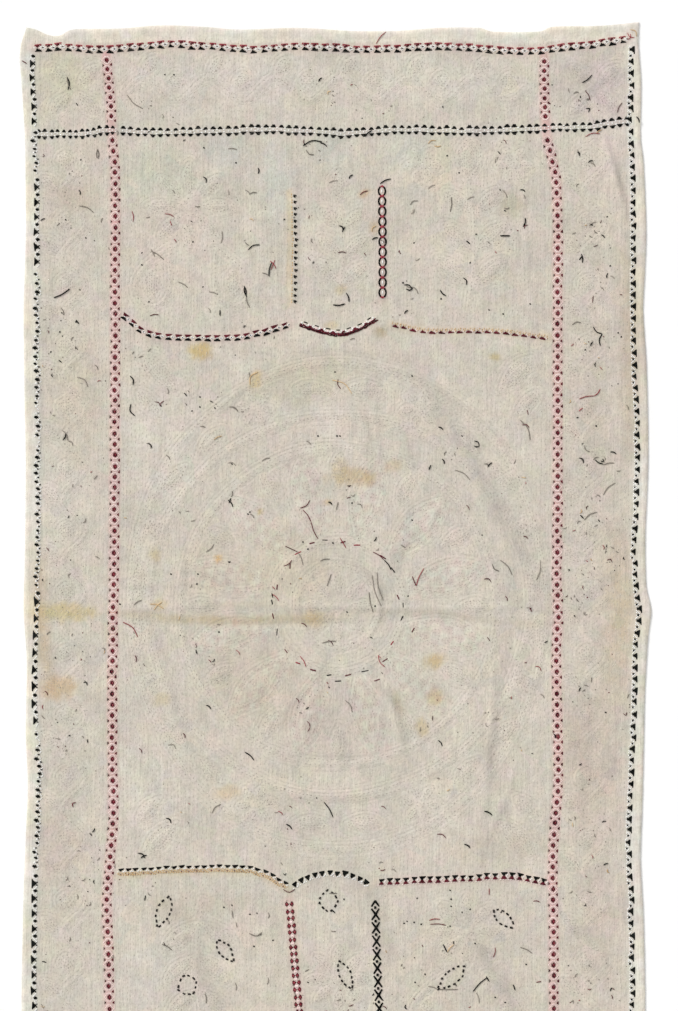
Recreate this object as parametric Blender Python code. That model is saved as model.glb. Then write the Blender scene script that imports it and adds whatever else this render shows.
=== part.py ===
"""A nakshi kantha: layers of worn cotton quilted into one cloth, lying flat on a surface.

Lengths are millimetres until the mesh is made in metres. X runs across the cloth, Y runs up its length
and Z is up. The origin lies under the middle of the cloth, on the surface that it rests on.
"""

import math

import bmesh
import bpy
import numpy as np
from mathutils import Vector, kdtree
from mathutils.geometry import delaunay_2d_cdt

MILLIMETRE = 0.001

# The cloth
WIDTH = 928.0
LENGTH = 1722.0
CLOTH_THICKNESS = 2.4
HEM_WIDTH = 10.0
HEM_RISE = 0.9
EDGE_DROP = 0.7
SWELL_HEIGHT = 0.35
SWELL_LENGTH = 310.0

# Quilted and stitched lines
BORDER_WIDTH = 14.0
BORDER_RISE = 0.8
ARC_WIDTH = 12.0
ARC_RISE = 0.9
QUILT_LINE_WIDTH = 9.0
QUILT_RISE = 0.7
PETAL_RISE = 1.1

# Folds and wrinkles
FOLD_WIDTH = 14.0
FOLD_RISE = 1.3
WRINKLE_WIDTH = 16.0
WRINKLE_RISE = 1.8

# Mesh
RIM_STEP = 60.0
BORDER_STEP = 64.0
ARC_STEP = 34.0
QUILT_STEP = 27.0
RING_STEP = 36.0
FILL_SPACING = 54.0
FILL_CLEARANCE = 20.0
SMALL_LEAF_LENGTH = 42.0
VINE_STEPS = 3
PAISLEY_POINTS = 14
MERGE_DISTANCE = 0.4

# The four edges, corner to corner. Columns: place along the edge, how far the edge lies inside the
# rectangle of WIDTH by LENGTH.
LEFT_EDGE = (
    (853, 10), (828, 2), (806, 0), (769, 3), (695, 7.5), (548, 9), (438, 6), (291, 7.5), (218, 9), (71, 7.5),
    (-3, 6), (-76, 10.5), (-187, 9), (-260, 12), (-334, 9), (-407, 6), (-554, 3), (-700, 2), (-806, 1),
    (-861, 9),
)
RIGHT_EDGE = (
    (861, 18), (828, 19), (769, 15), (695, 16), (660, 12), (548, 7.5), (438, 12), (364, 7.5), (218, 4.5),
    (107, 9), (34, 7.5), (-3, 0), (-40, 4.5), (-113, 9), (-297, 13.5), (-370, 16), (-444, 12), (-590, 9),
    (-700, 12), (-855, 17),
)
TOP_EDGE = (
    (-454, 8), (-440, 11), (-422, 19), (-405, 20), (-387, 11), (-317, 9.5), (-258, 5), (-193, 7), (-140, 11),
    (-52, 8.5), (21, 13), (89, 13), (153, 8.5), (212, 8.5), (230, 14), (300, 14), (318, 7), (389, 5.5),
    (446, 0),
)
BOTTOM_EDGE = (
    (-455, 0), (-390, 7), (-300, 9), (-180, 6), (-60, 10), (60, 9), (190, 7), (300, 10), (400, 7), (447, 6),
)

# Stitched borders. Columns: x, y.
TOP_BORDER = (
    (-444, 822), (-405, 824), (-334, 821), (-264, 828), (-228, 828), (-158, 823), (-123, 821), (-52, 825),
    (54, 821), (160, 825), (265, 818), (301, 819), (336, 824), (371, 827), (430, 836),
)
SECOND_BORDER = (
    (-440, 696), (-370, 697), (-334, 702), (-264, 699), (-158, 701), (-88, 703), (18, 698), (89, 703),
    (195, 701), (265, 703), (336, 706), (371, 707), (407, 713), (434, 716),
)
THIRD_BORDER = ((-442, -702), (-334, -700), (-158, -703), (18, -699), (195, -702), (336, -699), (436, -703))
BOTTOM_BORDER = ((-446, -828), (-334, -824), (-158, -826), (18, -822), (195, -826), (336, -823), (436, -826))
OUTER_LEFT_BORDER = (
    (-446, 814), (-446, 806), (-442, 703), (-439, 600), (-439, 320), (-437, 205), (-439, 12), (-442, -129),
    (-436, -247), (-440, -365), (-442, -424), (-443, -541), (-442, -700), (-445, -818),
)
OUTER_RIGHT_BORDER = (
    (434, 826), (434, 752), (433, 694), (437, 600), (437, 400), (442, 282), (442, 164), (437, 80),
    (444, -12), (440, -71), (437, -188), (431, -306), (431, -365), (433, -424), (435, -541), (436, -700),
    (436, -816),
)
INNER_LEFT_BORDER = (
    (-337, 812), (-331, 747), (-328, 690), (-324, 629), (-324, 453), (-325, 100), (-328, -76), (-328, -194),
    (-327, -312), (-332, -370), (-336, -429), (-333, -547), (-332, -700), (-334, -814),
)
INNER_RIGHT_BORDER = (
    (306, 810), (307, 747), (311, 690), (324, 629), (326, 570), (326, 159), (325, 41), (327, -18), (324, -71),
    (327, -253), (322, -312), (319, -370), (320, -488), (321, -700), (322, -814),
)

# Arcs of stitches over and under the medallion, and upright bars between the panels. Columns: x, y.
ARCS = (
    ((-315, 431), (-271, 402), (-199, 397), (-133, 399), (-67, 417)),
    ((-52, 419), (-23, 409), (7, 404), (36, 413), (58, 426)),
    ((82, 417), (139, 407), (212, 408), (271, 403), (312, 397)),
    ((-321, -388), (-199, -382), (-118, -385), (-70, -409)),
    ((-64, -410), (-30, -395), (2, -388), (49, -406)),
    ((62, -403), (124, -400), (198, -397), (256, -394), (312, -404)),
)
BARS = (
    ((-61, 611), (-60, 530), (-61, 447)),
    ((68, 620), (69, 540), (69, 456)),
    ((-68, -430), (-60, -520), (-52, -608)),
    ((58, -430), (61, -520), (65, -608)),
)

# The medallion
MEDALLION_CENTRE = (4.0, 3.0)
HUB_RADIUS = 61.0
HUB_FLOWER_RADIUS = 53.0
DASH_RING_RADIUS = 97.0
LOTUS_PETALS = 12
LOTUS_PETAL_FOOT = 105.0
LOTUS_PETAL_LENGTH = 116.0
LOTUS_PETAL_WIDTH = 44.0
OUTER_PETAL_FOOT = 176.0
OUTER_PETAL_LENGTH = 48.0
OUTER_PETAL_WIDTH = 20.0
PETAL_RING_RADIUS = 232.0
WREATH_INNER_RADIUS = 280.0
WREATH_OUTER_HALF_WIDTH = 305.0
WREATH_OUTER_HALF_HEIGHT = 358.0
WREATH_ROSETTES = 8
WREATH_ROSETTE_LEAST_RADIUS = 14.0
WREATH_MARGIN = 6.0
WREATH_LEAF_LENGTH = 52.0
WREATH_LEAF_WIDTH = 20.0
WREATH_LEAF_GAP = 24.0

# The vines in the side bands and in the bands across the ends
SIDE_BAND_MIDDLES = (-384.0, 381.0)
SIDE_VINE_END = 680.0
END_BAND_MIDDLE = 762.0
END_VINE_ENDS = (-308.0, 278.0)
VINE_REPEAT = 92.0
VINE_SWING = 17.0
VINE_LEAF_LENGTH = 32.0
VINE_LEAF_WIDTH = 15.0
VINE_LEAF_LEAN = 0.9
VINE_BUD_RADIUS = 12.0
CORNER_LEAF_GAP = 8.0
CORNER_LEAF_LENGTH = 40.0
CORNER_LEAF_WIDTH = 17.0

# Motifs in the panels at both ends. A sprig with a height below nought grows down the cloth.
# Columns: x, y, radius, petals.
ROSETTES = (
    (-215, 590, 62, 8), (262, 650, 26, 6), (128, 650, 26, 6), (-262, -645, 26, 6), (-130, -645, 26, 6),
    (4, -545, 46, 8), (192, -475, 52, 8),
)
# Columns: x, y, size, lean.
PAISLEYS = ((-270, 480, 70, 1), (-150, 480, 70, -1), (135, -590, 70, 1), (250, -590, 70, -1))
# Columns: x, y, height, length of the lowest leaf.
SPRIGS = ((4, 450, 150, 46), (195, 440, 190, 66), (-195, -430, -180, 66))
SPRIG_LEAF_PAIRS = 3
SPRIG_SWAY = 0.05
SPRIG_LEAF_LEAN = 0.7

# Leaves in the four angles between the medallion and the borders. Columns: x, y, length, width.
ANGLE_LEAVES = ((238, 318, 66, 26), (262, 282, 46, 18))

# Creases left by folding and use. Columns: x, y.
MIDDLE_FOLD = ((-448, 2), (-320, -6), (-230, 2), (-60, 1), (100, -2), (227, 0), (330, 4), (450, 0))
SECOND_FOLD = ((-250, -21), (-120, -20), (20, -22), (140, -16), (255, -21))
WRINKLES = (
    ((55, 305), (62, 250), (65, 188)),
    ((130, 166), (115, 118), (93, 70)),
    ((64, -63), (86, -150), (115, -242)),
    ((234, -63), (229, -160), (220, -250)),
    ((271, -219), (245, -290), (212, -360)),
    ((400, 686), (412, 640), (424, 575)),
)


class Ridge:
    """A raised line: a path with a half width and a rise at each of its points."""

    def __init__(self, path, half_widths, rises, closed=False):
        self.path = np.array(path, dtype=float)
        self.half_widths = np.broadcast_to(np.array(half_widths, dtype=float), len(self.path))
        self.rises = np.broadcast_to(np.array(rises, dtype=float), len(self.path))
        self.closed = closed

    def sides(self):
        """The two lines where the ridge meets the cloth."""
        if self.closed:
            ahead = np.roll(self.path, -1, axis=0) - np.roll(self.path, 1, axis=0)
        else:
            ahead = np.gradient(self.path, axis=0)
        ahead /= np.linalg.norm(ahead, axis=1)[:, None]
        across = np.stack((-ahead[:, 1], ahead[:, 0]), axis=1) * self.half_widths[:, None]
        return self.path + across, self.path - across

    def height_at(self, places):
        """Height over the cloth at each place, falling evenly from the path to the sides."""
        ends = np.roll(self.path, -1, axis=0)
        count = len(self.path) if self.closed else len(self.path) - 1
        height = np.zeros(len(places))
        for index in range(count):
            start = self.path[index]
            run = ends[index] - start
            along = np.clip(((places - start) @ run) / (run @ run), 0.0, 1.0)
            distance = np.linalg.norm(places - start - along[:, None] * run, axis=1)
            following = (index + 1) % len(self.path)
            half_width = self.half_widths[index] * (1 - along) + self.half_widths[following] * along
            rise = self.rises[index] * (1 - along) + self.rises[following] * along
            share = 1 - distance / np.maximum(half_width, MERGE_DISTANCE)
            size = np.abs(rise) * np.clip(share, 0.0, 1.0)
            height = np.where(size > np.abs(height), np.sign(rise) * size, height)
        return height


def smooth_line(points, step):
    """Points about a step apart on a smooth curve through the given ones."""
    points = np.array(points, dtype=float)
    before = np.vstack((2 * points[0] - points[1], points[:-1]))
    after = np.vstack((points[1:], 2 * points[-1] - points[-2]))
    slopes = (after - before) / 2
    line = []
    for index in range(len(points) - 1):
        start, end = points[index], points[index + 1]
        length = np.linalg.norm(end - start)
        count = max(1, round(length / step))
        reach = min(1.0, length / max(np.linalg.norm(slopes[index]), np.linalg.norm(slopes[index + 1])))
        for share in np.arange(count) / count:
            line.append(
                (2 * share**3 - 3 * share**2 + 1) * start
                + (share**3 - 2 * share**2 + share) * reach * slopes[index]
                + (3 * share**2 - 2 * share**3) * end
                + (share**3 - share**2) * reach * slopes[index + 1]
            )
    line.append(points[-1])
    return np.array(line)


def heading(angle):
    return np.array((math.cos(angle), math.sin(angle)))


def tapered(path, width, rises):
    """A ridge that runs out to nothing just past each end of its path."""
    first = path[0] + (path[0] - path[1]) / np.linalg.norm(path[0] - path[1]) * width / 2
    last = path[-1] + (path[-1] - path[-2]) / np.linalg.norm(path[-1] - path[-2]) * width / 2
    rises = np.broadcast_to(rises, len(path))
    half_widths = np.full(len(path), width / 2)
    return Ridge(np.vstack((first, path, last)), np.pad(half_widths, 1), np.pad(rises, 1))


def oval(middle, half_width, half_height, count):
    """Points evenly round an oval."""
    turns = np.arange(count) * 2 * math.pi / count
    return np.stack((middle[0] + half_width * np.cos(turns), middle[1] + half_height * np.sin(turns)), axis=1)


def stitched_border(points, width=BORDER_WIDTH, step=BORDER_STEP, rise=BORDER_RISE):
    return tapered(smooth_line(points, step), width, rise)


def quilted_ring(middle, half_width, half_height=None, width=QUILT_LINE_WIDTH, step=QUILT_STEP):
    half_height = half_height or half_width
    count = max(8, round(math.pi * (half_width + half_height) / step))
    return Ridge(oval(middle, half_width, half_height, count), width / 2, QUILT_RISE, closed=True)


def leaf(base, angle, length, width, rise=PETAL_RISE):
    """A puffed leaf or petal: widest past its middle and coming to a point at both ends."""
    small = length < SMALL_LEAF_LENGTH
    shares = np.array((0.0, 0.5, 1.0) if small else (0.0, 0.3, 0.62, 1.0))
    fullness = np.array((0.0, 1.0, 0.0) if small else (0.0, 0.8, 1.0, 0.0))
    path = np.array(base) + shares[:, None] * length * heading(angle)
    return Ridge(path, fullness * width / 2, fullness * rise)


def rosette(middle, radius, petals, turn=0.0):
    """Petals round a small knob."""
    middle = np.array(middle)
    hub = 0.3 * radius
    knob = 1.5 * hub
    petal_width = 1.5 * radius / petals + 5
    pieces = [leaf(middle - knob / 2 * heading(0.0), 0.0, knob, knob)]
    for index in range(petals):
        angle = turn + index * 2 * math.pi / petals
        pieces.append(leaf(middle + hub * heading(angle), angle, radius - hub, petal_width))
    return pieces


def sprig(x, y, height, reach):
    """A swaying stem with pairs of leaves and a bud on top."""
    bud = SPRIG_LEAF_PAIRS + 0.6
    shares = np.array((0.0, *(np.arange(SPRIG_LEAF_PAIRS) + 0.6), bud)) / bud
    stem = np.stack((x + SPRIG_SWAY * height * np.sin(3 * shares), y + shares * height), axis=1)
    pieces = [tapered(smooth_line(stem, QUILT_STEP), QUILT_LINE_WIDTH, QUILT_RISE)]
    for share, joint in zip(shares[1:-1], stem[1:-1]):
        length = reach * (1 - 0.35 * share)
        for lean in (SPRIG_LEAF_LEAN, math.pi - SPRIG_LEAF_LEAN):
            angle = math.copysign(lean, height)
            base = joint + QUILT_LINE_WIDTH / 2 * np.array((math.cos(angle), math.sin(angle)))
            pieces.append(leaf(base, angle, length, 0.4 * length))
    pieces.append(leaf(stem[-1], math.copysign(math.pi / 2, height), 0.9 * reach, 0.55 * reach))
    return pieces


def paisley(x, y, size, lean):
    """A drop with a curled tip, as a raised outline with a puffed heart."""
    outline = []
    for index in range(PAISLEY_POINTS):
        turn = index * 2 * math.pi / PAISLEY_POINTS
        taper = 0.5 * (1 + math.sin(turn))
        across = size * 0.42 * math.cos(turn) * (1 - 0.75 * taper**2)
        up = size * (0.62 * math.sin(turn) + 0.1)
        outline.append((x + across + lean * size * 0.4 * taper**3, y + up))
    heart = leaf((x, y - 0.32 * size), math.pi / 2, 0.55 * size, 0.3 * size)
    return [Ridge(outline, QUILT_LINE_WIDTH / 2, QUILT_RISE, closed=True), heart]


def borders():
    long_borders = (
        OUTER_LEFT_BORDER, INNER_LEFT_BORDER, INNER_RIGHT_BORDER, OUTER_RIGHT_BORDER,
        TOP_BORDER, SECOND_BORDER, THIRD_BORDER, BOTTOM_BORDER,
    )
    pieces = [stitched_border(points) for points in long_borders]
    for points in ARCS + BARS:
        pieces.append(stitched_border(points, ARC_WIDTH, ARC_STEP, ARC_RISE))
    return pieces


def medallion():
    """Rings round a hub, a lotus of petals between them, and a wreath of rosettes and leaves."""
    middle = np.array(MEDALLION_CENTRE)
    pieces = [
        quilted_ring(middle, HUB_RADIUS),
        quilted_ring(middle, DASH_RING_RADIUS),
        quilted_ring(middle, PETAL_RING_RADIUS, step=RING_STEP),
        quilted_ring(middle, WREATH_INNER_RADIUS, step=RING_STEP),
        quilted_ring(middle, WREATH_OUTER_HALF_WIDTH, WREATH_OUTER_HALF_HEIGHT, step=RING_STEP),
    ]
    pieces += rosette(middle, HUB_FLOWER_RADIUS, 8)
    for index in range(LOTUS_PETALS):
        angle = (index + 0.5) * 2 * math.pi / LOTUS_PETALS
        between = angle + math.pi / LOTUS_PETALS
        pieces.append(
            leaf(middle + LOTUS_PETAL_FOOT * heading(angle), angle, LOTUS_PETAL_LENGTH, LOTUS_PETAL_WIDTH)
        )
        pieces.append(
            leaf(middle + OUTER_PETAL_FOOT * heading(between), between, OUTER_PETAL_LENGTH, OUTER_PETAL_WIDTH)
        )
    for index in range(WREATH_ROSETTES):
        angle = (index + 0.5) * 2 * math.pi / WREATH_ROSETTES
        belt = 0.5 * (WREATH_INNER_RADIUS + oval_reach(angle))
        room = 0.5 * (oval_reach(angle) - WREATH_INNER_RADIUS) - WREATH_MARGIN
        radius = max(room, WREATH_ROSETTE_LEAST_RADIUS)
        pieces += rosette(middle + belt * heading(angle), radius, 6, angle)
        between = angle + math.pi / WREATH_ROSETTES
        belt = 0.5 * (WREATH_INNER_RADIUS + oval_reach(between))
        for turned in (between + math.pi / 2, between - math.pi / 2):
            base = middle + belt * heading(between) + WREATH_LEAF_GAP / 2 * heading(turned)
            pieces.append(leaf(base, turned, WREATH_LEAF_LENGTH, WREATH_LEAF_WIDTH))
    return pieces


def oval_reach(angle):
    """Distance from the medallion's middle to its outer oval."""
    across = math.cos(angle) / WREATH_OUTER_HALF_WIDTH
    up = math.sin(angle) / WREATH_OUTER_HALF_HEIGHT
    return 1 / math.hypot(across, up)


def vine(start, end):
    """A winding stem with a leaf and a round bud in turn, one in each bend."""
    start, end = np.array(start), np.array(end)
    length = np.linalg.norm(end - start)
    ahead = (end - start) / length
    across = np.array((-ahead[1], ahead[0]))
    angle = math.atan2(ahead[1], ahead[0])
    bends = 2 * round(length / VINE_REPEAT)
    steps = np.arange(VINE_STEPS * bends + 1) / (VINE_STEPS * bends)
    swing = VINE_SWING * np.sin(steps * bends * math.pi)
    stem = start + steps[:, None] * length * ahead + swing[:, None] * across
    pieces = [tapered(stem, QUILT_LINE_WIDTH, QUILT_RISE)]
    for bend in range(bends):
        middle = start + (bend + 0.5) / bends * length * ahead
        if bend % 2 == 0:
            leaf_foot = middle + (VINE_SWING + QUILT_LINE_WIDTH / 2) * across
            pieces.append(leaf(leaf_foot, angle + VINE_LEAF_LEAN, VINE_LEAF_LENGTH, VINE_LEAF_WIDTH))
        else:
            bud_foot = middle + VINE_BUD_RADIUS * (across - ahead)
            pieces.append(leaf(bud_foot, angle, 2 * VINE_BUD_RADIUS, 2 * VINE_BUD_RADIUS))
    return pieces


def bands():
    """Vines along the sides and across the ends, and four crossed leaves in each corner."""
    pieces = []
    for middle in SIDE_BAND_MIDDLES:
        pieces += vine((middle, -SIDE_VINE_END), (middle, SIDE_VINE_END))
        for level in (END_BAND_MIDDLE, -END_BAND_MIDDLE):
            for quarter in range(4):
                angle = (quarter + 0.5) * math.pi / 2
                base = np.array((middle, level)) + CORNER_LEAF_GAP * heading(angle)
                pieces.append(leaf(base, angle, CORNER_LEAF_LENGTH, CORNER_LEAF_WIDTH))
    for level in (END_BAND_MIDDLE, -END_BAND_MIDDLE):
        pieces += vine((END_VINE_ENDS[0], level), (END_VINE_ENDS[1], level))
    return pieces


def panels():
    """Flowers, sprigs and paisleys in the end panels, and two leaves in each angle of the medallion."""
    pieces = []
    for x, y, radius, petals in ROSETTES:
        pieces += rosette((x, y), radius, petals)
    for x, y, size, lean in PAISLEYS:
        pieces += paisley(x, y, size, lean)
    for x, y, height, reach in SPRIGS:
        pieces += sprig(x, y, height, reach)
    for x, y, length, width in ANGLE_LEAVES:
        for side in (-1, 1):
            for end in (-1, 1):
                base = (MEDALLION_CENTRE[0] + side * x, MEDALLION_CENTRE[1] + end * y)
                pieces.append(leaf(base, math.atan2(end, side), length, width))
    return pieces


def creases():
    """The fold across the middle and the wrinkles, which lie over the quilting."""
    pieces = [tapered(smooth_line(MIDDLE_FOLD, BORDER_STEP), FOLD_WIDTH, FOLD_RISE)]
    second = smooth_line(SECOND_FOLD, BORDER_STEP)
    pieces.append(tapered(second, FOLD_WIDTH, -FOLD_RISE * fading(second)))
    for points in WRINKLES:
        path = smooth_line(points, ARC_STEP)
        pieces.append(tapered(path, WRINKLE_WIDTH, WRINKLE_RISE * fading(path)))
    return pieces


def fading(path):
    """Full strength in the middle of a path and little at its ends."""
    return np.sin(np.linspace(0.25, math.pi - 0.25, len(path)))


def rim():
    """The cloth's outline, anticlockwise from the top right corner."""
    half_width, half_length = WIDTH / 2, LENGTH / 2
    top = [(x, half_length - inside) for x, inside in reversed(TOP_EDGE)]
    left = [(inside - half_width, y) for y, inside in LEFT_EDGE]
    bottom = [(x, inside - half_length) for x, inside in BOTTOM_EDGE]
    right = [(half_width - inside, y) for y, inside in reversed(RIGHT_EDGE)]
    outline = [smooth_line(edge, RIM_STEP)[:-1] for edge in (top, left, bottom, right)]
    return np.vstack(outline)


def inset(outline, distance):
    """The outline moved inwards, square to itself."""
    ahead = np.roll(outline, -1, axis=0) - np.roll(outline, 1, axis=0)
    ahead /= np.linalg.norm(ahead, axis=1)[:, None]
    return outline + distance * np.stack((-ahead[:, 1], ahead[:, 0]), axis=1)


def fill_points(lines, outline):
    """An even spread of points over the plain cloth, clear of every line."""
    corners = np.vstack(lines + [outline])
    tree = kdtree.KDTree(len(corners))
    for index, corner in enumerate(corners):
        tree.insert((corner[0], corner[1], 0.0), index)
    tree.balance()
    points = []
    row_step = FILL_SPACING * math.sqrt(3) / 2
    rows = int(LENGTH / row_step)
    for row in range(rows + 1):
        y = (row - rows / 2) * row_step
        shift = FILL_SPACING / 2 * (row % 2)
        columns = int(WIDTH / FILL_SPACING)
        for column in range(columns + 1):
            x = (column - columns / 2) * FILL_SPACING + shift
            inside = abs(x) < WIDTH / 2 - 2 * HEM_WIDTH and abs(y) < LENGTH / 2 - 2 * HEM_WIDTH
            if inside and tree.find((x, y, 0.0))[2] > FILL_CLEARANCE:
                points.append((x, y))
    return points


def top_height(places, ridges, folds, outline):
    """Height of the upper face: the cloth's thickness, its hem, quilting, folds and soft swells."""
    quilting = np.zeros(len(places))
    for ridge in ridges:
        quilting = np.maximum(quilting, ridge.height_at(places))
    folding = np.zeros(len(places))
    for fold in folds:
        folding += fold.height_at(places)
    hem = Ridge(inset(outline, HEM_WIDTH / 2), HEM_WIDTH / 2, HEM_RISE, closed=True).height_at(places)
    at_rim = Ridge(outline, HEM_WIDTH / 2, -EDGE_DROP, closed=True).height_at(places)
    turns = places * 2 * math.pi / SWELL_LENGTH
    swell = SWELL_HEIGHT * np.sin(turns[:, 0] + 0.6 * np.sin(turns[:, 1])) * np.cos(0.8 * turns[:, 1])
    return CLOTH_THICKNESS + np.maximum(quilting, hem) + folding + at_rim + swell


def lay_out_cloth():
    """The upper face as flat places and triangles, with an edge along every raised line."""
    outline = rim()
    ridges = borders() + medallion() + bands() + panels()
    folds = creases()
    hem_lines = [inset(outline, HEM_WIDTH / 2), inset(outline, HEM_WIDTH)]
    loops = [(line, True) for line in [outline] + hem_lines]
    for ridge in ridges + folds:
        for line in (ridge.path, *ridge.sides()):
            loops.append((line, ridge.closed))
    corners, edges = [], []
    for line, closed in loops:
        first = len(corners)
        corners += [Vector(point) for point in line]
        last = len(line) if closed else len(line) - 1
        edges += [(first + index, first + (index + 1) % len(line)) for index in range(last)]
    corners += [Vector(point) for point in fill_points([line for line, _ in loops], outline)]
    inside_only = 1
    places, _, triangles, _, _, _ = delaunay_2d_cdt(corners, edges, [], inside_only, MERGE_DISTANCE)
    places = np.array([(place.x, place.y) for place in places])
    return places, triangles, top_height(places, ridges, folds, outline)


def make_cloth():
    """One closed solid: the raised upper face, a thin wall round the rim and a flat underside."""
    places, triangles, heights = lay_out_cloth()
    shape = bmesh.new()
    top = [
        shape.verts.new((x * MILLIMETRE, y * MILLIMETRE, z * MILLIMETRE))
        for (x, y), z in zip(places, heights)
    ]
    for triangle in triangles:
        shape.faces.new([top[corner] for corner in triangle])
    loose = [vert for vert in shape.verts if not vert.link_faces]
    bmesh.ops.delete(shape, geom=loose, context="VERTS")
    rim_edges = [edge for edge in shape.edges if edge.is_boundary]
    wall = bmesh.ops.extrude_edge_only(shape, edges=rim_edges)["geom"]
    foot = [item for item in wall if isinstance(item, bmesh.types.BMVert)]
    for vert in foot:
        vert.co.z = 0.0
    foot_edges = [item for item in wall if isinstance(item, bmesh.types.BMEdge) and item.is_boundary]
    bmesh.ops.contextual_create(shape, geom=foot_edges)
    bmesh.ops.recalc_face_normals(shape, faces=shape.faces)
    mesh = bpy.data.meshes.new("kantha")
    shape.to_mesh(mesh)
    shape.free()
    mesh.shade_smooth()
    mesh.set_sharp_from_angle(angle=math.radians(40))
    return mesh


def quilted_cotton():
    material = bpy.data.materials.new("quilted cotton")
    material.use_nodes = True
    finish = material.node_tree.nodes["Principled BSDF"]
    finish.inputs["Base Color"].default_value = (0.68, 0.62, 0.51, 1.0)
    finish.inputs["Roughness"].default_value = 0.92
    finish.inputs["Metallic"].default_value = 0.0
    return material


def main():
    for thing in list(bpy.data.objects):
        bpy.data.objects.remove(thing, do_unlink=True)
    kantha = bpy.data.objects.new("kantha", make_cloth())
    bpy.context.scene.collection.objects.link(kantha)
    kantha.data.materials.append(quilted_cotton())


main()
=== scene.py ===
from itertools import groupby
import math
import bpy
import numpy as np
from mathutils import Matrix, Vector, kdtree, noise
from mathutils.bvhtree import BVHTree


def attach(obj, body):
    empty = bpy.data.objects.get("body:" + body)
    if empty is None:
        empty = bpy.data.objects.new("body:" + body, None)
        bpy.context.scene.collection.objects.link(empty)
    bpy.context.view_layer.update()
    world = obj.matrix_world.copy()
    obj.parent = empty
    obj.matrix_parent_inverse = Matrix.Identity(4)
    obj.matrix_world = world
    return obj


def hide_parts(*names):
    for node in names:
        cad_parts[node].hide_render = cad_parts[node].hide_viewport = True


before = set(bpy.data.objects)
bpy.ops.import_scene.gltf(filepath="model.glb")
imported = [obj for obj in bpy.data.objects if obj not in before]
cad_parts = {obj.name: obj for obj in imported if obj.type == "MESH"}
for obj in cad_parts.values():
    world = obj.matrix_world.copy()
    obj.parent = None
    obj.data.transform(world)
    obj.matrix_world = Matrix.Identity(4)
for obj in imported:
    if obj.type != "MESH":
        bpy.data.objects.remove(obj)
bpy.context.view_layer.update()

# The room: a white table that runs out past the picture, an even light from all round, and one broad lamp
# from the upper left, low enough to bring out the quilting. The camera looks straight down on the cloth.
bpy.ops.object.select_all(action="DESELECT")
bpy.ops.mesh.primitive_grid_add(x_subdivisions=12, y_subdivisions=12, size=12.0, location=(0, 0, -0.0004))
table = bpy.context.object
table.name = "white_table"
bpy.ops.object.transform_apply(location=True, rotation=True, scale=True)


def wire(tree, kind, feeds=None, **settings):
    """Adds a node with these settings and feeds its inputs, each from a socket or with a value."""
    added = tree.nodes.new(kind)
    for setting, value in settings.items():
        setattr(added, setting, value)
    for name, feed in (feeds or {}).items():
        if isinstance(feed, bpy.types.NodeSocket):
            tree.links.new(feed, added.inputs[name])
        else:
            added.inputs[name].default_value = feed
    return added


def maths(tree, operation, *values):
    """A sum on up to three values, each a number or a socket."""
    return wire(tree, "ShaderNodeMath", dict(enumerate(values)), operation=operation).outputs[0]


def blended(tree, share, first, second, way="MIX"):
    """Two colours laid one on the other."""
    feeds = {0: share, 6: first, 7: second}
    return wire(tree, "ShaderNodeMix", feeds, data_type="RGBA", blend_type=way).outputs[2]


def new_finish(name):
    """An empty material with its surface shader, which is rough unless it is told otherwise."""
    material = bpy.data.materials.new(name)
    material.use_nodes = True
    return material, material.node_tree, material.node_tree.nodes["Principled BSDF"]


painted, tree, shader = new_finish("white paint")
place = wire(tree, "ShaderNodeTexCoord").outputs["Object"]
clouds = wire(tree, "ShaderNodeTexNoise", {"Vector": place, "Scale": 3.0, "Detail": 3.0}).outputs["Fac"]
paint = blended(tree, clouds, (0.93, 0.93, 0.93, 1), (0.96, 0.96, 0.955, 1))
tree.links.new(paint, shader.inputs["Base Color"])
shader.inputs["Roughness"].default_value = 0.9
shader.inputs["Specular IOR Level"].default_value = 0.1
table.data.materials.append(painted)

room = bpy.data.worlds.new("studio")
room.use_nodes = True
room.node_tree.nodes["Background"].inputs["Color"].default_value = (1.0, 1.0, 1.0, 1)
room.node_tree.nodes["Background"].inputs["Strength"].default_value = 0.69
bpy.context.scene.world = room
bpy.context.scene.view_settings.view_transform = "Standard"

bpy.ops.object.light_add(type="SUN", location=(-2.0, 2.0, 2.4))
lamp = bpy.context.object
lamp.name = "broad_lamp"
lamp.rotation_euler = Vector((2.0, -2.0, -1.75)).to_track_quat("-Z", "Y").to_euler()
lamp.data.energy = 2.3
lamp.data.angle = math.radians(18)
lamp.data.color = (1.0, 0.995, 0.985)

mm = 0.001
PIXEL = 1.47
PICTURE_HEIGHT = 1011
MIDDLE_IN_PICTURE = (335.5, 608.0)
CAMERA_HEIGHT = 4.0
SENSOR = 36.0
bpy.ops.object.camera_add(location=(5.1 * mm, 150.7 * mm, CAMERA_HEIGHT), rotation=(0, 0, 0))
camera = bpy.context.object
camera.name = "camera_over_cloth"
camera.data.sensor_width = SENSOR
camera.data.lens = SENSOR * CAMERA_HEIGHT / (PICTURE_HEIGHT * PIXEL * mm)
bpy.context.scene.camera = camera


def on_cloth(points):
    """Places in the picture, in its pixels, as millimetres on the cloth."""
    return (np.array(points, dtype=float) - MIDDLE_IN_PICTURE) * (PIXEL, -PIXEL)


# The cloth: layers of worn sari cotton quilted into one, with the rim turned in and stitched down. Its
# quilting, folds and wrinkles lie on those of the solid. Lengths are millimetres until a mesh is made.
THICKNESS = 2.4
BORDER_WIDTH, BORDER_RISE = 14.0, 0.8
ARC_WIDTH, ARC_RISE = 12.0, 0.9
LINE_WIDTH, LINE_RISE = 9.0, 0.7
PETAL_RISE = 1.1
quilting = []
needle_lines = []
fillings = []


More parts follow.
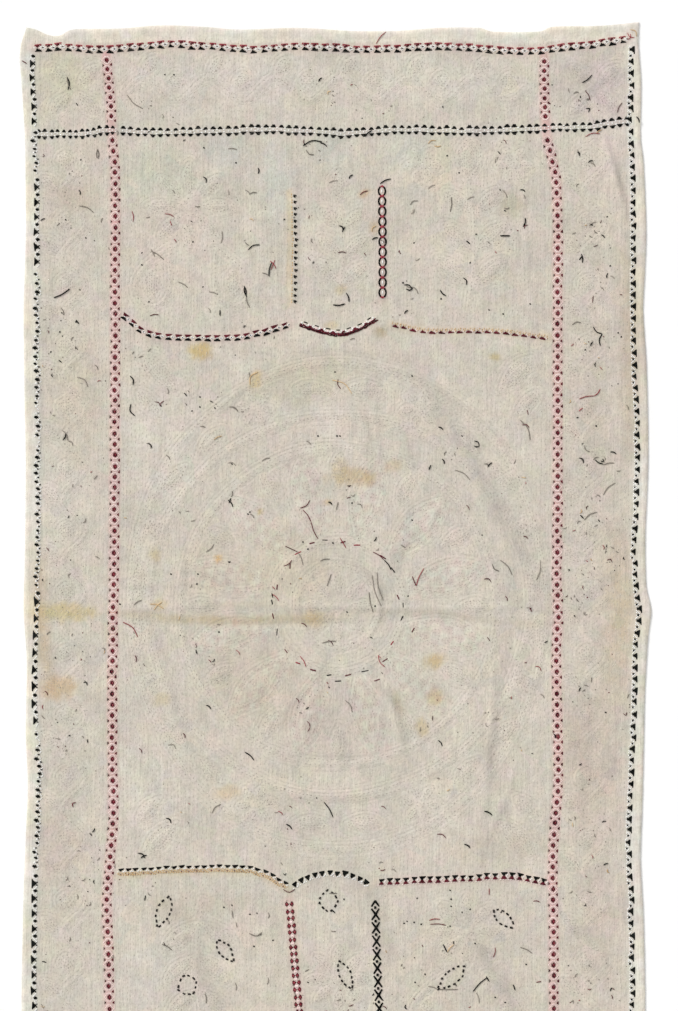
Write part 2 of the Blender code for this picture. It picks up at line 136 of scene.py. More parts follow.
def smooth_line(points, step):
    """Points about a step apart on a smooth curve through the given ones."""
    points = np.array(points, dtype=float)
    before = np.vstack((2 * points[0] - points[1], points[:-1]))
    after = np.vstack((points[1:], 2 * points[-1] - points[-2]))
    slopes = (after - before) / 2
    line = []
    for index in range(len(points) - 1):
        start, end = points[index], points[index + 1]
        length = np.linalg.norm(end - start)
        reach = min(1.0, length / max(np.linalg.norm(slopes[index]), np.linalg.norm(slopes[index + 1])))
        for share in np.linspace(0, 1, max(1, round(length / step)), endpoint=False):
            line.append(
                (2 * share**3 - 3 * share**2 + 1) * start
                + (share**3 - 2 * share**2 + share) * reach * slopes[index]
                + (3 * share**2 - 2 * share**3) * end
                + (share**3 - share**2) * reach * slopes[index + 1]
            )
    line.append(points[-1])
    return np.array(line)


def heading(angle):
    return np.array((math.cos(angle), math.sin(angle)))


def axes_at(angle):
    """The ways along and across a shape that is turned by this angle."""
    return heading(angle), heading(angle + math.pi / 2)


def fullness(share):
    """How wide a leaf is at each share of its length, against its widest."""
    return np.sin(math.pi * share**1.15) ** 0.85


def raised(path, widths, rises):
    """Notes a raised line of quilting."""
    quilting.append((np.array(path, dtype=float), widths / 2, rises))


def leaf(base, angle, length, width, rise=PETAL_RISE, filled=True, checked=False):
    """A puffed leaf or petal, with a line of stitches just inside its edge and rows of them within."""
    share = np.linspace(0, 1, 9)
    ahead, across = axes_at(angle)
    path = np.array(base) + share[:, None] * length * ahead
    raised(path, fullness(share) * width, fullness(share) * rise)
    side = (fullness(share) * (width / 2 - 1.0))[:, None] * across
    needle_lines.append(np.vstack((path + side, (path - side)[-2:0:-1], path[:1])))
    if filled:
        fillings.append((np.array(base), angle, length, width, checked))


def rosette(middle, radius, petals, turn=0.0):
    """Petals round a small knob."""
    middle = np.array(middle)
    hub = 0.3 * radius
    knob = 1.5 * hub
    leaf(middle - knob / 2 * heading(0.0), 0.0, knob, knob, filled=False)
    for index in range(petals):
        angle = turn + index * 2 * math.pi / petals
        leaf(middle + hub * heading(angle), angle, radius - hub, 1.5 * radius / petals + 5)


def oval(middle, half_width, half_height, step=6.0):
    """Points round an oval drawn by hand, the first again at the end."""
    turns = np.linspace(0, 2 * math.pi, round(math.pi * (half_width + half_height) / step) + 1)
    drift = 1 + 0.008 * np.sin(3 * turns + half_width) + 0.005 * np.sin(7 * turns + half_height)
    x, y = middle[0] + half_width * drift * np.cos(turns), middle[1] + half_height * drift * np.sin(turns)
    return np.stack((x, y), axis=1)


def quilted_ring(middle, half_width, half_height):
    """A raised ring with a line of stitches along each side."""
    raised(oval(middle, half_width, half_height), LINE_WIDTH, LINE_RISE)
    for side in (-2.6, 2.6):
        needle_lines.append(oval(middle, half_width + side, half_height + side))


def quilted_stem(path):
    raised(path, LINE_WIDTH, LINE_RISE)
    needle_lines.append(path)


def beside(path, distance):
    """The path moved sideways, to the left of the way it runs."""
    ahead = np.gradient(path, axis=0)
    ahead /= np.linalg.norm(ahead, axis=1)[:, None]
    return path + distance * np.stack((-ahead[:, 1], ahead[:, 0]), axis=1)


# Stitched borders, arcs over and under the medallion, and bars between the panels. Columns: x, y.
TOP_BORDER = smooth_line((
    (-444, 822), (-405, 824), (-334, 821), (-264, 828), (-228, 828), (-158, 823), (-123, 821), (-52, 825),
    (54, 821), (160, 825), (265, 818), (301, 819), (336, 824), (371, 827), (430, 836),
), 5.0)
SECOND_BORDER = smooth_line((
    (-440, 696), (-370, 697), (-334, 702), (-264, 699), (-158, 701), (-88, 703), (18, 698), (89, 703),
    (195, 701), (265, 703), (336, 706), (371, 707), (407, 713), (434, 716),
), 5.0)
THIRD_BORDER = smooth_line((
    (-442, -702), (-334, -700), (-158, -703), (18, -699), (195, -702), (336, -699), (436, -703),
), 5.0)
BOTTOM_BORDER = smooth_line((
    (-446, -828), (-334, -824), (-158, -826), (18, -822), (195, -826), (336, -823), (436, -826),
), 5.0)
OUTER_LEFT_BORDER = smooth_line((
    (-446, 814), (-446, 806), (-442, 703), (-439, 600), (-439, 320), (-437, 205), (-439, 12), (-442, -129),
    (-436, -247), (-440, -365), (-442, -424), (-443, -541), (-442, -700), (-445, -818),
), 5.0)
OUTER_RIGHT_BORDER = smooth_line((
    (434, 826), (434, 752), (433, 694), (437, 600), (437, 400), (442, 282), (442, 164), (437, 80),
    (444, -12), (440, -71), (437, -188), (431, -306), (431, -365), (433, -424), (435, -541), (436, -700),
    (436, -816),
), 5.0)
INNER_LEFT_BORDER = smooth_line((
    (-337, 812), (-331, 747), (-328, 690), (-324, 629), (-324, 453), (-325, 100), (-328, -76), (-328, -194),
    (-327, -312), (-332, -370), (-336, -429), (-333, -547), (-332, -700), (-334, -814),
), 5.0)
INNER_RIGHT_BORDER = smooth_line((
    (306, 810), (307, 747), (311, 690), (324, 629), (326, 570), (326, 159), (325, 41), (327, -18),
    (324, -71), (327, -253), (322, -312), (319, -370), (320, -488), (321, -700), (322, -814),
), 5.0)
ARCS = [smooth_line(points, 4.0) for points in (
    ((-315, 431), (-271, 402), (-199, 397), (-133, 399), (-67, 417)),
    ((-52, 419), (-23, 409), (7, 404), (36, 413), (58, 426)),
    ((82, 417), (139, 407), (212, 408), (271, 403), (312, 397)),
    ((-321, -388), (-199, -382), (-118, -385), (-70, -409)),
    ((-64, -410), (-47, -400), (-33, -394), (-14, -390), (2, -390), (20, -393), (36, -400), (48, -408)),
    ((62, -403), (124, -400), (198, -397), (256, -394), (312, -404)),
)]
BARS = [smooth_line(points, 4.0) for points in (
    ((-61, 611), (-60, 530), (-61, 447)),
    ((68, 620), (69, 540), (69, 456)),
    ((-68, -430), (-60, -520), (-52, -608)),
    ((58, -430), (61, -520), (65, -608)),
)]
LONG_BORDERS = (
    TOP_BORDER, SECOND_BORDER, THIRD_BORDER, BOTTOM_BORDER,
    OUTER_LEFT_BORDER, OUTER_RIGHT_BORDER, INNER_LEFT_BORDER, INNER_RIGHT_BORDER,
)
for line in LONG_BORDERS:
    raised(line, BORDER_WIDTH, BORDER_RISE)
for line in ARCS + BARS:
    raised(line, ARC_WIDTH, ARC_RISE)

# The medallion, quilted into the middle of the cloth: rings round a hub flower, a lotus of petals between
# them, and a wreath of flowers and leaves.
MIDDLE = np.array((4.0, 3.0))
WREATH_HALF_WIDTH, WREATH_HALF_HEIGHT = 305.0, 358.0


def oval_reach(angle):
    """Distance from the medallion's middle to its outer oval."""
    return 1 / math.hypot(math.cos(angle) / WREATH_HALF_WIDTH, math.sin(angle) / WREATH_HALF_HEIGHT)


for radius in (61.0, 97.0, 232.0, 280.0):
    quilted_ring(MIDDLE, radius, radius)
quilted_ring(MIDDLE, WREATH_HALF_WIDTH, WREATH_HALF_HEIGHT)
rosette(MIDDLE, 53.0, 8)
for index in range(12):
    angle = (index + 0.5) * math.pi / 6
    leaf(MIDDLE + 105.0 * heading(angle), angle, 116.0, 44.0, checked=True)
    leaf(MIDDLE + 176.0 * heading(angle + math.pi / 12), angle + math.pi / 12, 48.0, 20.0)
for index in range(8):
    angle = (index + 0.5) * math.pi / 4
    belt = 0.5 * (280.0 + oval_reach(angle))
    rosette(MIDDLE + belt * heading(angle), max(0.5 * (oval_reach(angle) - 280.0) - 6.0, 14.0), 6, angle)
    between = angle + math.pi / 8
    belt = 0.5 * (280.0 + oval_reach(between))
    for turned in (between + math.pi / 2, between - math.pi / 2):
        leaf(MIDDLE + belt * heading(between) + 12.0 * heading(turned), turned, 52.0, 20.0)


def vine(start, end):
    """A winding stem with a leaf and a round bud in turn, one in each bend."""
    start, end = np.array(start), np.array(end)
    length = np.linalg.norm(end - start)
    ahead = (end - start) / length
    across = np.array((-ahead[1], ahead[0]))
    angle = math.atan2(ahead[1], ahead[0])
    bends = 2 * round(length / 92.0)
    steps = np.arange(12 * bends + 1) / (12 * bends)
    swing = 17.0 * np.sin(steps * bends * math.pi)
    quilted_stem(start + steps[:, None] * length * ahead + swing[:, None] * across)
    for bend in range(bends):
        middle = start + (bend + 0.5) / bends * length * ahead
        if bend % 2 == 0:
            leaf(middle + 21.5 * across, angle + 0.9, 32.0, 15.0)
        else:
            leaf(middle + 12.0 * (across - ahead), angle, 24.0, 24.0)


for middle in (-384.0, 381.0):
    vine((middle, -680.0), (middle, 680.0))
    for level in (762.0, -762.0):
        for quarter in range(4):
            angle = (quarter + 0.5) * math.pi / 2
            leaf(np.array((middle, level)) + 8.0 * heading(angle), angle, 40.0, 17.0)
for level in (762.0, -762.0):
    vine((-308.0, level), (278.0, level))

# Flowers, drops and sprigs of the end panels. Columns: x, y, radius, petals; x, y, size, lean; and x, y,
# height, reach.
for x, y, radius, petals in (
    (-215, 590, 62, 8), (262, 650, 26, 6), (128, 650, 26, 6), (-262, -645, 26, 6), (-130, -645, 26, 6),
    (4, -545, 46, 8), (192, -475, 52, 8),
):
    rosette((x, y), radius, petals)
for x, y, size, lean in ((-270, 480, 70, 1), (-150, 480, 70, -1), (135, -590, 70, 1), (250, -590, 70, -1)):
    turns = np.linspace(0, 2 * math.pi, 43)
    taper = 0.5 * (1 + np.sin(turns))
    across = size * 0.42 * np.cos(turns) * (1 - 0.75 * taper**2) + lean * size * 0.4 * taper**3
    drop = np.stack((x + across, y + size * (0.62 * np.sin(turns) + 0.1)), axis=1)
    quilted_stem(drop)
    leaf((x, y - 0.32 * size), math.pi / 2, 0.55 * size, 0.3 * size)
for x, y, height, reach in ((4, 450, 150, 46), (195, 440, 190, 66), (-195, -430, -180, 66)):
    shares = np.array((0.0, 0.6, 1.6, 2.6, 3.6)) / 3.6
    stem = np.stack((x + 0.05 * height * np.sin(3 * shares), y + shares * height), axis=1)
    quilted_stem(smooth_line(stem, 6.0))
    for share, joint in zip(shares[1:-1], stem[1:-1]):
        for lean in (0.7, math.pi - 0.7):
            angle = math.copysign(lean, height)
            length = reach * (1 - 0.35 * share)
            leaf(joint + LINE_WIDTH / 2 * heading(angle), angle, length, 0.4 * length)
    leaf(stem[-1], math.copysign(math.pi / 2, height), 0.9 * reach, 0.55 * reach)
for side in (-1, 1):
    for end in (-1, 1):
        for x, y, length, width in ((238, 318, 66, 26), (262, 282, 46, 18)):
            leaf(MIDDLE + np.array((side * x, end * y)), math.atan2(end, side), length, width)

# Folds and wrinkles. The first two cross the middle. Columns: x, y; then the width and rise of each.
CREASES = (
    (((-448, 2), (-320, -6), (-230, 2), (-60, 1), (100, -2), (227, 0), (330, 4), (450, 0)), 14, 1.3),
    (((-250, -21), (-120, -20), (20, -22), (140, -16), (255, -21)), 14, -1.3),
    (((55, 305), (62, 250), (65, 188)), 16, 1.8),
    (((130, 166), (115, 118), (93, 70)), 16, 1.8),
    (((64, -63), (86, -150), (115, -242)), 16, 1.8),
    (((234, -63), (229, -160), (220, -250)), 16, 1.8),
    (((271, -219), (245, -290), (212, -360)), 16, 1.8),
    (((400, 686), (412, 640), (424, 575)), 16, 1.8),
    (((-310, 24), (-225, 31), (-170, 27)), 9, -0.7),
    (((52, 68), (58, 42), (66, 14), (64, -12)), 9, 0.9),
    (((62, 62), (70, 30), (73, 2)), 8, -0.7),
    (((118, 95), (150, 142), (163, 190)), 12, 0.9),
    (((196, 150), (228, 96), (236, 40)), 12, 0.8),
    (((70, -120), (62, -200), (30, -236)), 12, 0.8),
    (((150, -100), (165, -190), (180, -235)), 12, 0.9),
    (((-60, 236), (-20, 214), (30, 222)), 11, 0.7),
    (((-120, -130), (-96, -176), (-92, -230)), 12, 0.7),
    (((-280, 560), (-282, 500), (-276, 440)), 12, 0.7),
    (((-100, 640), (-108, 600), (-104, 540)), 12, 0.7),
    (((40, 590), (20, 520), (26, 470)), 11, 0.7),
    (((268, 600), (284, 540), (280, 480)), 12, 0.7),
    (((180, 372), (240, 350), (290, 352)), 12, 0.7),
    (((-300, 340), (-240, 322), (-200, 345)), 12, 0.6),
    (((-390, 120), (-384, 60), (-396, 0)), 12, 0.7),
)


def along(places, path, closed=False):
    """Distance from each place to a path, with the nearest step of the path and the share along it."""
    nearest = np.full(len(places), 1e9)
    step_of = np.zeros(len(places), dtype=int)
    share_of = np.zeros(len(places))
    last = len(path) if closed else len(path) - 1
    for index in range(last):
        start = path[index]
        run = path[(index + 1) % len(path)] - start
        share = np.clip(((places - start) @ run) / max(run @ run, 1e-9), 0.0, 1.0)
        distance = np.linalg.norm(places - start - share[:, None] * run, axis=1)
        closer = distance < nearest
        nearest[closer], step_of[closer], share_of[closer] = distance[closer], index, share[closer]
    return nearest, step_of, share_of


def near_to(places, path, reach):
    """Which places lie no further than this outside the box round a path."""
    return np.all((places > path.min(axis=0) - reach) & (places < path.max(axis=0) + reach), axis=1)


def height_over(places, path, half_widths, rises):
    """Height of a raised line at each place: full on the line, and running out softly at its sides."""
    height = np.zeros(len(places))
    half_widths, rises = np.ones(len(path)) * half_widths, np.ones(len(path)) * rises
    near = near_to(places, path, half_widths.max() + 1.0)
    if near.any():
        distance, step, share = along(places[near], path)
        half_width = half_widths[step] * (1 - share) + half_widths[step + 1] * share
        rise = rises[step] * (1 - share) + rises[step + 1] * share
        slope = np.clip(1 - distance / np.maximum(half_width, 0.5), 0.0, 1.0)
        height[near] = rise * slope**2 * (3 - 2 * slope)
    return height


# The outline is the solid's own rim, made smooth, with the small unevenness of a turned edge.
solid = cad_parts["kantha"]
solid_corners = np.array([corner.co for corner in solid.data.vertices]) / mm
rim = np.unique(np.round(solid_corners[solid_corners[:, 2] < 0.05, :2], 3), axis=0)
rim = rim[np.argsort(np.arctan2(rim[:, 1], rim[:, 0]))]


def corner_of(side, end):
    return int(np.argmax(side * rim[:, 0] + end * rim[:, 1]))


def run_of(path):
    """How far along a path each of its points lies."""
    return np.concatenate(([0.0], np.cumsum(np.linalg.norm(np.diff(path, axis=0), axis=1))))


def points_at(path, run, distances):
    """Points at these distances along a path."""
    return np.stack([np.interp(distances, run, path[:, axis]) for axis in (0, 1)], axis=-1)


def edge_between(first, last, places):
    """Points of the rim from one corner on to the next, at these shares of its length."""
    count = (last - first) % len(rim)
    edge = smooth_line(rim[(first + np.arange(count + 1)) % len(rim)], 3.0)
    run = run_of(edge)
    return points_at(edge, run / run[-1], places)


def grid_places(count):
    """Shares along a side for the lines of the cloth's mesh, closer together where the rim turns down."""
    steps = np.ones(count)
    steps[:3] = (0.28, 0.5, 0.75)
    steps[-3:] = (0.75, 0.5, 0.28)
    return np.concatenate(([0.0], np.cumsum(steps))) / steps.sum()


COLUMNS, ROWS = 216, 404
bpy.ops.object.select_all(action="DESELECT")
bpy.ops.mesh.primitive_grid_add(x_subdivisions=COLUMNS, y_subdivisions=ROWS, size=1.0)
cloth = bpy.context.object
cloth.name = "cloth"
cloth.data.name = "cloth"
seed = np.zeros(len(cloth.data.vertices) * 3)
cloth.data.vertices.foreach_get("co", seed)
seed = seed.reshape(-1, 3)
column = np.round((seed[:, 0] + 0.5) * COLUMNS).astype(int)
row = np.round((seed[:, 1] + 0.5) * ROWS).astype(int)
across, up = grid_places(COLUMNS), grid_places(ROWS)
top_left, top_right = corner_of(-1, 1), corner_of(1, 1)
bottom_left, bottom_right = corner_of(-1, -1), corner_of(1, -1)
left_edge = edge_between(top_left, bottom_left, up)[::-1]
bottom_edge = edge_between(bottom_left, bottom_right, across)
right_edge = edge_between(bottom_right, top_right, up)
top_edge = edge_between(top_right, top_left, across)[::-1]
u, v = across[column][:, None], up[row][:, None]
places = (
    (1 - v) * bottom_edge[column] + v * top_edge[column] + (1 - u) * left_edge[row] + u * right_edge[row]
    - (1 - u) * (1 - v) * bottom_edge[0] - u * (1 - v) * bottom_edge[-1]
    - (1 - u) * v * top_edge[0] - u * v * top_edge[-1]
)
outline = np.vstack((bottom_edge[:-1], right_edge[:-1], top_edge[::-1][:-1], left_edge[::-1][:-1]))


def wander(places, length, seed=0.0, stretch=1.0):
    """A soft value of about -0.7 to 0.7 that changes over this length, and slower along y by the stretch."""
    return np.array([noise.noise(Vector((x / length, y / length / stretch, seed))) for x, y in places])


# Height of the upper face: quilting, folds, the hem with its needle marks, and the slack between stitches.
HALF_WIDTH, HALF_LENGTH = 464, 861
HEM_WIDTH = 12.5
relief = np.zeros(len(places))
for path, half_widths, rises in quilting:
    relief = np.maximum(relief, height_over(places, path, half_widths, rises))
border_lines = LONG_BORDERS + tuple(ARCS) + tuple(BARS)
folding = np.zeros(len(places))
# Painted shade: a darker line along each crease.
crease_shade = np.zeros(len(places))
for points, width, rise in CREASES:
    path = smooth_line(points, 8.0)
    fading = np.sin(np.linspace(0.2, math.pi - 0.2, len(path)))
    folding += height_over(places, path, width / 2, rise * fading)
    crease_shade = np.maximum(crease_shade, height_over(places, path, width / 2 * 0.4, fading))
from_side, from_end = HALF_WIDTH - np.abs(places[:, 0]), HALF_LENGTH - np.abs(places[:, 1])
close = (from_side < 50) | (from_end < 55)
to_rim = np.full(len(places), 99.0)
to_rim[close] = along(places[close], outline, closed=True)[0]
hem = np.clip(to_rim / 3.0, 0, 1) * np.clip((HEM_WIDTH - to_rim) / 3.5, 0, 1)
turned_down = np.clip(1 - to_rim / 3.5, 0, 1) ** 2
pucker = wander(places, 7.0, 3.0) * np.clip((17 - to_rim) / 6, 0, 1)
swell = 0.35 * np.sin(places[:, 0] / 49.3 + 0.6 * np.sin(places[:, 1] / 49.3)) * np.cos(places[:, 1] / 61.7)
crinkle = 0.5 * wander(places, 26.0, 7.0, 1.8) + 0.4 * wander(places, 11.0, 11.0, 4.0)
height = (
    THICKNESS + np.maximum(relief, 0.9 * hem) + folding + swell - 0.9 * turned_down + 0.45 * pucker
    + crinkle * np.clip(to_rim / 8, 0, 1)
)

# How far each place is from the nearest quilting line, for the rows of stitches that echo it.
line_points = np.vstack([smooth_line(path, 4.0) for path in needle_lines])
line_tree = kdtree.KDTree(len(line_points))
for index, (x, y) in enumerate(line_points):
    line_tree.insert((x, y, 0.0), index)
line_tree.balance()
to_line = np.array([line_tree.find((x, y, 0.0))[2] for x, y in places])

# Stains, by where they lie in the picture. Columns: x, y, half width, half height, turn, and the shares of
# red, green and blue light that each takes away. A share below nought is a paler place.
STAINS = (
    (200, 351, 11, 9, 0.1, 0.06, 0.2, 0.5), (256, 380, 6, 10, 0.0, 0.04, 0.12, 0.34),
    (350, 476, 20, 8, 0.1, 0.09, 0.17, 0.34), (368, 480, 10, 7, 0.3, 0.1, 0.18, 0.3),
    (392, 466, 9, 6, 0.2, 0.04, 0.1, 0.2), (340, 465, 8, 8, 0.2, 0.04, 0.08, 0.2),
    (434, 661, 11, 7, 0.3, 0.12, 0.22, 0.42), (436, 697, 9, 8, 0.0, 0.1, 0.17, 0.34),
    (422, 728, 6, 9, 0.2, 0.1, 0.18, 0.34), (398, 703, 4, 14, 0.3, 0.12, 0.16, 0.22),
    (59, 688, 18, 12, 0.2, 0.09, 0.21, 0.36), (66, 612, 30, 9, 0.0, 0.05, 0.13, 0.36),
    (155, 555, 6, 7, 0.0, 0.1, 0.16, 0.32), (218, 559, 4, 4, 0.0, 0.04, 0.22, 0.55),
    (512, 205, 13, 12, 0.5, 0.13, 0.14, 0.2), (380, 332, 6, 6, 0.0, 0.25, 0.3, 0.42),
    (495, 357, 5, 4, 0.0, 0.12, 0.2, 0.4), (341, 289, 6, 5, 0.0, 0.06, 0.13, 0.26),
    (332, 325, 7, 4, 0.0, 0.03, 0.1, 0.24), (374, 228, 6, 7, 0.0, 0.1, 0.17, 0.28),
    (364, 194, 6, 4, 0.4, 0.02, 0.16, 0.3), (314, 620, 12, 8, 0.0, 0.04, 0.12, 0.26),
    (260, 512, 3, 3, 0.0, 0.2, 0.24, 0.5), (328, 502, 4, 3, 0.0, 0.05, 0.16, 0.34),
    (160, 605, 8, 6, 0.0, 0.05, 0.1, 0.24), (227, 792, 12, 7, 0.2, 0.03, 0.1, 0.22),
    (162, 700, 9, 6, 0.3, 0.03, 0.08, 0.2), (75, 198, 22, 16, 0.0, 0.06, 0.1, 0.13),
    (60, 78, 30, 28, 0.0, 0.04, 0.02, 0.1), (230, 78, 90, 22, 0.0, -0.05, -0.05, -0.08),
    (430, 82, 70, 24, 0.0, -0.03, -0.04, -0.06), (590, 85, 36, 34, 0.0, 0.06, 0.08, 0.04),
    (160, 170, 34, 30, 0.2, 0.06, 0.0, 0.04), (225, 152, 24, 20, 0.0, 0.08, 0.03, -0.01),
    (275, 175, 16, 44, 0.0, 0.02, -0.04, -0.06), (335, 150, 18, 20, 0.0, 0.1, 0.05, 0.03),
    (402, 150, 24, 20, 0.0, 0.03, -0.02, -0.03), (440, 165, 13, 34, 0.0, -0.04, -0.03, 0.04),
    (180, 235, 34, 40, 0.0, -0.02, 0.01, 0.0), (300, 378, 56, 22, 0.1, 0.05, 0.05, 0.1),
    (160, 450, 36, 54, 0.1, -0.05, -0.06, -0.08), (215, 565, 40, 44, 0.3, 0.02, 0.04, 0.06),
    (290, 570, 40, 40, 0.0, 0.03, 0.05, 0.1), (255, 680, 50, 42, 0.0, 0.03, 0.06, 0.09),
    (335, 715, 44, 32, 0.1, 0.04, 0.07, 0.06), (320, 782, 66, 12, 0.0, -0.05, -0.05, -0.02),
    (450, 540, 22, 50, 0.3, -0.02, -0.01, -0.02), (150, 790, 30, 60, 0.2, -0.05, -0.06, -0.07),
    (440, 800, 34, 50, 0.0, -0.05, -0.05, -0.05), (470, 690, 26, 44, 0.0, -0.03, -0.02, -0.03),
    (500, 850, 60, 16, 0.1, 0.04, 0.05, 0.07), (200, 905, 50, 16, 0.1, 0.05, 0.06, 0.08),
    (60, 850, 26, 36, 0.2, 0.05, 0.09, 0.09), (80, 400, 24, 60, 0.0, 0.02, 0.04, 0.07),
    (590, 760, 28, 70, 0.1, 0.06, 0.09, 0.1), (600, 930, 26, 60, 0.0, 0.05, 0.07, 0.07),
    (145, 975, 28, 40, 0.0, -0.03, -0.05, -0.07), (250, 965, 28, 50, 0.0, -0.04, -0.03, -0.02),
    (430, 965, 30, 44, 0.0, -0.03, -0.02, 0.0), (330, 430, 24, 40, 0.0, -0.03, -0.03, -0.04),
    (60, 500, 18, 46, 0.0, -0.03, -0.04, -0.05), (608, 120, 20, 60, 0.0, -0.03, 0.0, -0.04),
    (596, 600, 44, 470, 0.0, 0.014, 0.028, 0.028), (490, 975, 66, 90, 0.0, 0.03, 0.026, 0.034),
    (180, 960, 62, 76, 0.0, 0.014, 0.012, 0.014),
)
# Bands darkened along old folds and wrinkles, partly soil and partly painted shade; the paler bands
# beside some of them are painted highlight. Columns: the points of each, its width, and the shares of light
# that it takes away, or one share for all three.
SOILED_AND_SHADED = (
    (((112, 612), (180, 619), (250, 620), (345, 616)), 10, (0.1, 0.16, 0.28)),
    (((185, 604), (240, 604), (300, 605)), 5, (0.1, 0.11, 0.14)),
    (((180, 623), (250, 624), (345, 621)), 4, 0.1),
    (((345, 613), (430, 612), (500, 622), (566, 624)), 7, (0.08, 0.1, 0.13)),
    (((38, 548), (39, 600), (42, 640), (52, 686)), 18, (0.08, 0.16, 0.28)),
    (((628, 245), (634, 340), (633, 450)), 26, (0.12, 0.18, 0.26)),
    (((618, 530), (622, 600), (612, 700)), 36, (0.08, 0.13, 0.22)),
    (((600, 330), (592, 420), (606, 500)), 26, (0.06, 0.07, 0.08)),
    (((412, 368), (468, 448), (515, 535), (548, 602)), 26, (0.08, 0.08, 0.07)),
    (((446, 412), (492, 500), (536, 578)), 12, (0.1, 0.1, 0.08)),
    (((500, 590), (516, 600), (548, 604)), 12, 0.08),
    (((430, 486), (411, 515), (400, 550), (378, 606)), 10, (0.14, 0.13, 0.1)),
    (((436, 500), (416, 548), (398, 596)), 8, -0.05),
    (((362, 408), (372, 445), (370, 492)), 6, 0.1),
    (((300, 575), (335, 562), (370, 575), (382, 610), (371, 640)), 5, 0.07),
    (((371, 640), (376, 682), (394, 702), (405, 750), (412, 790)), 7, (0.13, 0.13, 0.12)),
    (((330, 655), (310, 685), (285, 715), (282, 752)), 6, 0.1),
    (((276, 754), (330, 756), (392, 755)), 5, 0.1),
    (((235, 796), (320, 800), (412, 796)), 7, (0.08, 0.09, 0.09)),
    (((145, 625), (165, 660), (175, 705), (202, 775)), 8, (0.09, 0.09, 0.08)),
    (((138, 622), (156, 660), (166, 706), (192, 776)), 7, -0.05),
    (((110, 582), (160, 572), (205, 576), (232, 592), (264, 612)), 4, 0.08),
    (((508, 632), (500, 690), (490, 775), (482, 862)), 9, (0.12, 0.12, 0.11)),
    (((520, 632), (512, 690), (504, 770)), 8, -0.05),
    (((478, 700), (492, 764), (514, 850)), 10, 0.08),
    (((455, 775), (480, 760), (520, 690), (530, 640)), 8, 0.05),
    (((272, 362), (240, 395), (205, 438)), 7, (0.1, 0.09, 0.09)),
    (((145, 445), (132, 505), (125, 580)), 6, 0.06),
    (((185, 490), (186, 600)), 4, 0.04),
    (((390, 368), (450, 398), (500, 440), (530, 482), (546, 545)), 5, 0.09),
    (((394, 360), (455, 390), (507, 434), (538, 478)), 5, -0.05),
    (((430, 475), (460, 505), (486, 562)), 4, -0.07),
    (((290, 142), (297, 200), (294, 300)), 9, (0.1, 0.1, 0.08)),
    (((250, 300), (268, 276), (290, 250)), 9, (0.1, 0.1, 0.08)),
    (((380, 190), (384, 240), (382, 300)), 7, (0.06, 0.08, 0.06)),
    (((150, 480), (166, 430), (186, 402)), 10, 0.05),
    (((128, 740), (160, 790), (204, 834)), 12, (0.07, 0.07, 0.06)),
    (((296, 878), (330, 862), (360, 878), (384, 925), (392, 985)), 15, 0.09),
    (((468, 925), (492, 968), (520, 1015)), 15, (0.13, 0.13, 0.12)),
    (((168, 900), (196, 950), (222, 1015)), 20, 0.09),
    (((607, 138), (616, 168), (625, 202), (629, 222)), 5, (0.24, 0.24, 0.23)),
    (((600, 138), (608, 168), (615, 200)), 5, -0.05),
    (((625, 190), (628, 230), (629, 330)), 4, 0.1),
    (((560, 60), (592, 92), (622, 122)), 7, (0.07, 0.07, 0.05)),
    (((618, 62), (592, 92), (566, 124)), 7, (0.07, 0.07, 0.05)),
    (((428, 380), (400, 360), (345, 352), (290, 356)), 7, (0.05, 0.05, 0.06)),
    (((560, 700), (585, 760), (580, 850)), 12, (0.06, 0.07, 0.07)),
)
light = np.ones((len(places), 3))


def stain_and_shade(share, lost):
    """Takes this much of each colour of light away, by each place's share, for stains and for painted shade
    alike.
    """
    light[:] *= 1 - share[:, None] * np.array(lost)


def along_and_across(places, base, angle):
    """Places as distances along and across a shape, from its base."""
    return (places - base) @ np.stack(axes_at(angle), axis=1)


ragged = wander(places, 11.0, 2.0) + 0.5 * wander(places, 5.0, 9.0)
for x, y, half_width, half_height, turn, *lost in STAINS:
    turned = along_and_across(places, on_cloth((x, y)), turn)
    reach = np.hypot(turned[:, 0] / half_width, turned[:, 1] / half_height) / PIXEL + 0.45 * ragged
    strength = np.clip(1.45 - reach, 0, 1)
    stain_and_shade(strength**2 * (3 - 2 * strength), lost)
# Soil and painted shade along folds and wrinkles, with painted highlight in the paler bands.
for points, width, lost in SOILED_AND_SHADED:
    path = smooth_line(on_cloth(points), 8.0)
    fading = np.sin(np.linspace(0.35, math.pi - 0.35, len(path)))
    stain_and_shade(height_over(places, path, width * PIXEL * 0.85, fading) * (1 + 0.6 * ragged), lost)
# Dye that has bled beside the coloured borders. Columns: border, reach to each side, shares of light.
for path, reach, lost in (
    (INNER_LEFT_BORDER, 11.0, (0.0, 0.22, 0.18)), (INNER_RIGHT_BORDER, 11.0, (0.0, 0.22, 0.18)),
    (TOP_BORDER, 13.0, (0.0, 0.07, 0.05)), (SECOND_BORDER, 12.0, (0.03, 0.02, 0.0)),
    (OUTER_LEFT_BORDER, 12.0, (0.03, 0.0, -0.02)), (OUTER_RIGHT_BORDER, 12.0, (0.03, 0.0, -0.02)),
    (ARCS[0], 12.0, (0.0, 0.07, 0.05)), (ARCS[2], 12.0, (0.0, 0.05, 0.09)),
    (ARCS[3] - (0.0, 5.0), 9.0, (0.0, 0.04, 0.12)), (ARCS[5], 12.0, (0.0, 0.07, 0.05)),
    (BARS[0] - (7.0, 0.0), 8.0, (0.0, 0.04, 0.14)), (BARS[1], 12.0, (0.0, 0.07, 0.05)),
    (BARS[2], 12.0, (0.0, 0.12, 0.1)), (BOTTOM_BORDER, 13.0, (0.0, 0.07, 0.05)),
    (THIRD_BORDER, 12.0, (0.03, 0.02, 0.0)),
):
    stain_and_shade(np.minimum(1.5 * height_over(places, path, reach, 1.0), 1) * (1 + 0.5 * ragged), lost)
# Painted shade along the creases.
stain_and_shade(crease_shade, 0.05)

TRIANGLE = 17.0


